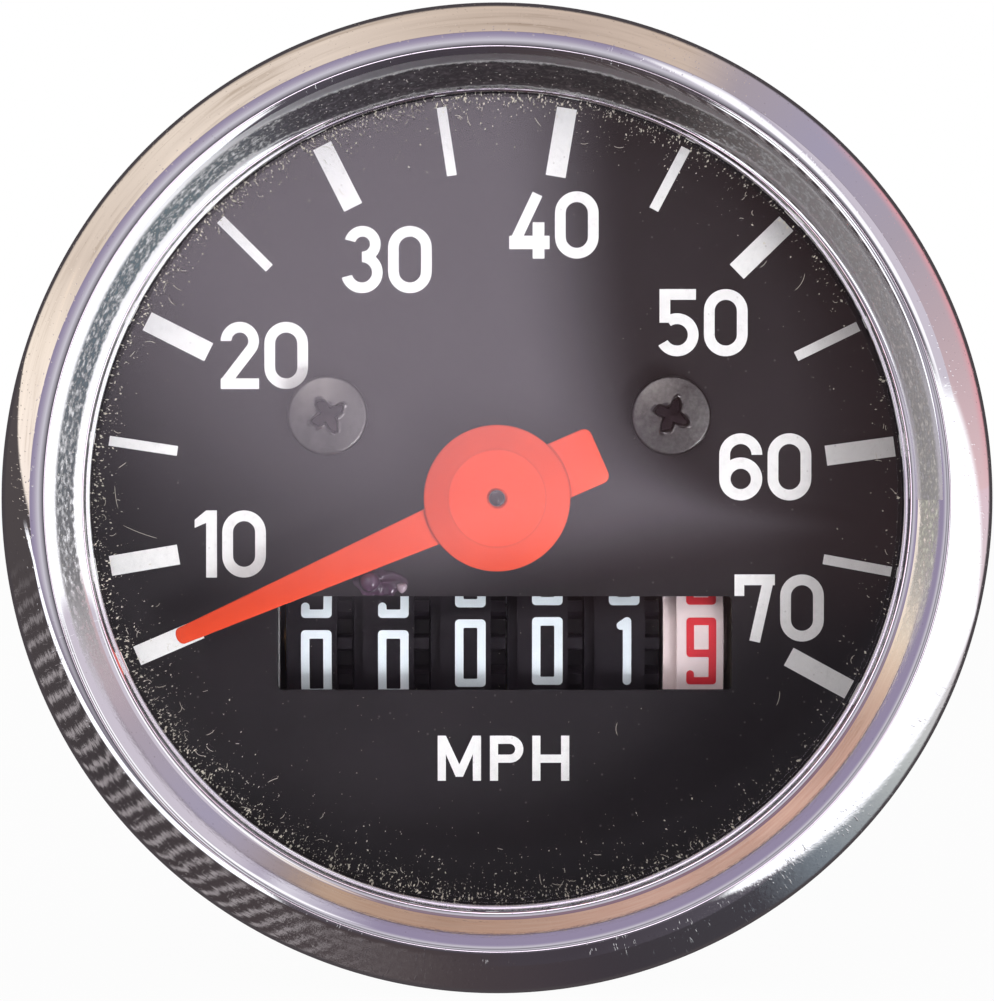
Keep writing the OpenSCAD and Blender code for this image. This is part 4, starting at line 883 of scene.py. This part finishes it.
def surroundings():
    """White behind for the camera, even light on matt surfaces, and a room of soft colours in reflections.

    The room is laid out by a direction's turn about the line of sight and its tilt from the front, in radians.
    """
    world = bpy.data.worlds.new("room")
    bpy.context.scene.world = world
    world.use_nodes = True
    tree = world.node_tree
    tree.nodes.clear()
    coords = put(tree, "TexCoord").outputs["Generated"]
    way = put(tree, "SeparateXYZ", Vector=coords).outputs
    turn = turning(tree, way[0], way[2])
    tilt = maths(tree, "ARCCOSINE", product(tree, way[1], -1.0))
    late = maths(tree, "FRACT", total(tree, turn, 0.25))

    def over(mask, under, colour):
        return blended(tree, mask, under, colour)

    def beyond(value, edge, low, high):
        return between(tree, maths(tree, "SUBTRACT", value, edge), low, high)

    def noisy(where, scale, detail, **more):
        return put(tree, "TexNoise", Vector=where, Scale=scale, Detail=detail, **more).outputs["Fac"]

    # To the sides: a wooden surface above
    side = ramp(tree, turn, [
        (0.0, (0.80, 0.56, 0.58)), (0.05, (0.58, 0.44, 0.47)), (0.09, (0.44, 0.38, 0.44)), (0.13, (0.40, 0.36, 0.47)),
        (0.165, (0.42, 0.36, 0.40)), (0.185, (0.66, 0.53, 0.44)), (0.225, (0.60, 0.48, 0.40)),
        (0.26, (0.64, 0.52, 0.43)), (0.31, (0.80, 0.68, 0.58)), (0.37, (0.86, 0.74, 0.63)), (0.42, (0.76, 0.64, 0.54)),
        (0.45, (1.0, 0.87, 0.74)), (0.49, (1.08, 0.95, 0.84)), (0.76, (0.045, 0.038, 0.042)),
        (0.84, (0.055, 0.05, 0.06)), (0.865, (0.20, 0.23, 0.26)), (0.91, (0.55, 0.57, 0.56)),
        (0.95, (0.75, 0.68, 0.70)), (1.0, (0.80, 0.60, 0.66)),
    ])
    sweep = product(tree, maths(tree, "POWER", total(tree, turn, -0.20), 2.0), 22.0)
    at = put(tree, "CombineXYZ", X=product(tree, turn, 13.0), Y=total(tree, product(tree, tilt, 3.4), sweep))
    veined = ramp(tree, noisy(at.outputs[0], 1.0, 5, Roughness=0.6, Distortion=0.6), [
        (0.34, (0.70, 0.66, 0.62)), (0.47, (0.98, 0.97, 0.96)), (0.60, (1.04, 1.03, 1.02)), (0.70, (1.15, 1.12, 1.08)),
    ])
    side = over(within(tree, turn, 0.17, 0.49, 0.01), side, blended(tree, 1.0, side, veined, "MULTIPLY"))

    # Low on the left, dark woven cloth with pale ridges
    woven = product(tree, beyond(tilt, slanted(tree, turn, -22.0, 0.455, 2.53), -0.05, 0.05),
                    between(tree, turn, 0.82, 0.76))
    side = over(woven, side, ramp(tree, turn, [
        (0.45, (0.10, 0.085, 0.085)), (0.60, (0.055, 0.046, 0.049)), (0.72, (0.075, 0.058, 0.060)),
        (0.80, (0.050, 0.040, 0.052)),
    ]))
    ridges_per_turn, lean = 156, 14.0
    bend = product(tree, total(tree, tilt, -1.9), slanted(tree, turn, lean * TAU, 0.60, 0.0))
    wander = product(tree, noisy(coords, 5.0, 3), 4.5)
    ridges = maths(tree, "SINE", total(tree, product(tree, turn, ridges_per_turn * TAU), bend, wander))
    uneven = total(tree, ridges, scaled(tree, noisy(coords, 46.0, 2), 4.4, -2.2))
    pattern = product(tree, between(tree, turn, 0.52, 0.56), between(tree, turn, 0.745, 0.67),
                      between(tree, tilt, 0.45, 0.7), between(tree, uneven, 0.2, 0.95))
    side = over(pattern, side, (0.36, 0.325, 0.33))
    reddish = product(tree, between(tree, tilt, 2.0, 2.5), within(tree, late, 0.26, 0.37, 0.02))
    side = over(reddish, side, (0.80, 0.38, 0.42))
    side = over(between(tree, tilt, 2.38, 2.54), side, (0.07, 0.06, 0.065))

    # In front: a lilac ceiling with a bright strip, the dark figure in the middle, and dark below
    side_from = 1.3
    front = ramp(tree, product(tree, tilt, 1 / side_from), [
        (0.0, (0.07, 0.06, 0.07)), (0.12, (0.11, 0.10, 0.12)), (0.24, (0.36, 0.34, 0.38)), (0.41, (0.64, 0.61, 0.68)),
        (0.54, (0.54, 0.50, 0.58)), (0.67, (0.42, 0.37, 0.48)), (0.87, (0.33, 0.285, 0.41)), (1.0, (0.32, 0.27, 0.39)),
    ])
    front = over(between(tree, way[0], 0.44, 0.60), front, (0.66, 0.60, 0.68))
    strip = product(tree, within(tree, way[0], 0.27, 0.49, 0.04), between(tree, way[2], 0.02, 0.14),
                    between(tree, way[2], 0.95, 0.72))
    front = over(strip, front, (1.15, 1.12, 1.16))
    below = ramp(tree, turn, [
        (0.50, (0.28, 0.25, 0.32)), (0.56, (0.24, 0.21, 0.27)), (0.625, (0.15, 0.13, 0.16)),
        (0.70, (0.075, 0.062, 0.072)), (0.78, (0.06, 0.05, 0.062)), (0.84, (0.10, 0.09, 0.11)),
    ])
    front = over(product(tree, between(tree, way[2], -0.12, -0.24), between(tree, tilt, 0.10, 0.20)), front, below)

    # Where front and sides meet: the cloth comes further forward, along the bar's curve
    bar_curve = maths(tree, "EXPONENT", slanted(tree, turn, -10.98, 0.5167, 0.367))
    cloth = product(tree, within(tree, turn, 0.505, 0.75, 0.01), beyond(tilt, bar_curve, 0.10, 0.22))
    room = over(maths(tree, "MAXIMUM", between(tree, tilt, 1.31, 1.345), cloth), front, side)
    seam = product(tree, within(tree, tilt, 1.305, 1.345, 0.012), between(tree, turn, 0.06, 0.09),
                   between(tree, turn, 0.44, 0.40), 0.55)
    room = over(seam, room, (0.12, 0.09, 0.10))

    # A lit bar that curves from the left to straight below
    away = maths(tree, "ABSOLUTE", maths(tree, "SUBTRACT", tilt, bar_curve))
    away = product(tree, away, scaled(tree, between(tree, tilt, 1.15, 1.45), 2.0, 1.0))
    bar = product(tree, between(tree, away, 0.19, 0.13), within(tree, turn, 0.513, 0.674, 0.004),
                  between(tree, tilt, 0.12, 0.14))
    room = over(bar, room, BAR_LIGHT)

    # The window low on the right reaches from the front round to the side
    reach = reduce(lambda a, b: maths(tree, "MINIMUM", a, b), [
        slanted(tree, late, *line) for line in ((10.4, 0.111, 1.45), (-14.0, 0.208, 2.46), (32.0, 0.083, 0.55))
    ])
    window = product(tree, within(tree, late, 0.078, 0.284, 0.006), beyond(tilt, reach, 0.12, -0.16),
                     between(tree, tilt, 0.125, 0.15))
    room = over(window, room, WINDOW_LIGHT)

    # Straight ahead, where the flat glass looks: a pale shape that fades to the left and below, and ends on the right.
    # One unit is about a tenth of the bezel's width, counted from the dial's centre
    glass_scale, glass_rise, glass_tilt = 42.5, 0.745, 0.1
    x = product(tree, way[0], glass_scale)
    z = scaled(tree, way[2], glass_scale, glass_rise)
    limit = total(tree, maths(tree, "DIVIDE", 0.99, maths(tree, "MAXIMUM", total(tree, z, 0.6), 0.25)), 0.40)
    right = beyond(x, limit, 0.65, -0.70)
    left = scaled(tree, between(tree, total(tree, x, z), -4.3, -0.3), 0.92, 0.08)
    height = total(tree, z, product(tree, x, -0.2))
    low = product(tree, scaled(tree, between(tree, height, 0.0, 1.2), 0.2, 0.8), between(tree, height, -1.08, -0.15))
    dark = (0.05, 0.04, 0.05)
    ahead = over(between(tree, x, -0.5, 1.5), dark, (0.28, 0.17, 0.18))
    ahead = over(between(tree, z, -1.7, -0.3), dark, ahead)
    ahead = over(product(tree, right, left, low), ahead, (2.40, 2.08, 2.42))
    room = over(between(tree, tilt, glass_tilt + 0.003, glass_tilt - 0.003), room, ahead)

    path = put(tree, "LightPath").outputs
    seen = put(tree, "Background", Color=(1, 1, 1), Strength=1.0)
    glossy = put(tree, "Background", Color=room, Strength=1.0)
    soft = put(tree, "Background", Color=(1, 0.99, 0.98), Strength=SOFT_LEVEL)
    first = put(tree, "MixShader", i0=path["Is Glossy Ray"], i1=soft.outputs[0], i2=glossy.outputs[0])
    last = put(tree, "MixShader", i0=path["Is Camera Ray"], i1=first.outputs[0], i2=seen.outputs[0])
    put(tree, "OutputWorld", Surface=last.outputs[0])


def lamp(name, at, size, power, colour):
    """A round soft lamp that points at the dial. It casts light but has no mirror image."""
    light = bpy.data.lights.new(name, "AREA")
    light.shape, light.size, light.energy, light.color = "DISK", size, power, colour
    piece = bpy.data.objects.new(name, light)
    bpy.context.scene.collection.objects.link(piece)
    piece.location = at
    piece.rotation_mode = "QUATERNION"
    piece.rotation_quaternion = (-Vector(at)).to_track_quat("-Z", "Y")
    piece.visible_glossy = False


def camera():
    """Nearly square on to the dial, a little above its axis, with the rim filling the frame from side to side."""
    data = bpy.data.cameras.new("camera")
    piece = bpy.data.objects.new("camera", data)
    bpy.context.scene.collection.objects.link(piece)
    half_field, distance, half_sensor = 30.21, 256.4, 12
    data.sensor_fit = "AUTO"
    data.sensor_width = 2 * half_sensor
    data.lens = half_sensor * distance / half_field
    data.clip_start, data.clip_end = 0.01, 20
    piece.location = (0, -0.260, 0.0045)
    aim = Vector((0, LIP_Y * MM, -0.00009)) - piece.location
    piece.rotation_mode = "QUATERNION"
    piece.rotation_quaternion = aim.to_track_quat("-Z", "Y")
    bpy.context.scene.camera = piece


floor()
surroundings()
lamp("key", (0.246, -0.314, -0.229), 0.14, 1.30, (0.98, 0.98, 1.0))
lamp("fill", (-0.10, -0.50, 0.22), 0.30, 0.78, (1.0, 0.96, 0.92))
camera()
bpy.context.scene.view_settings.view_transform = "Standard"
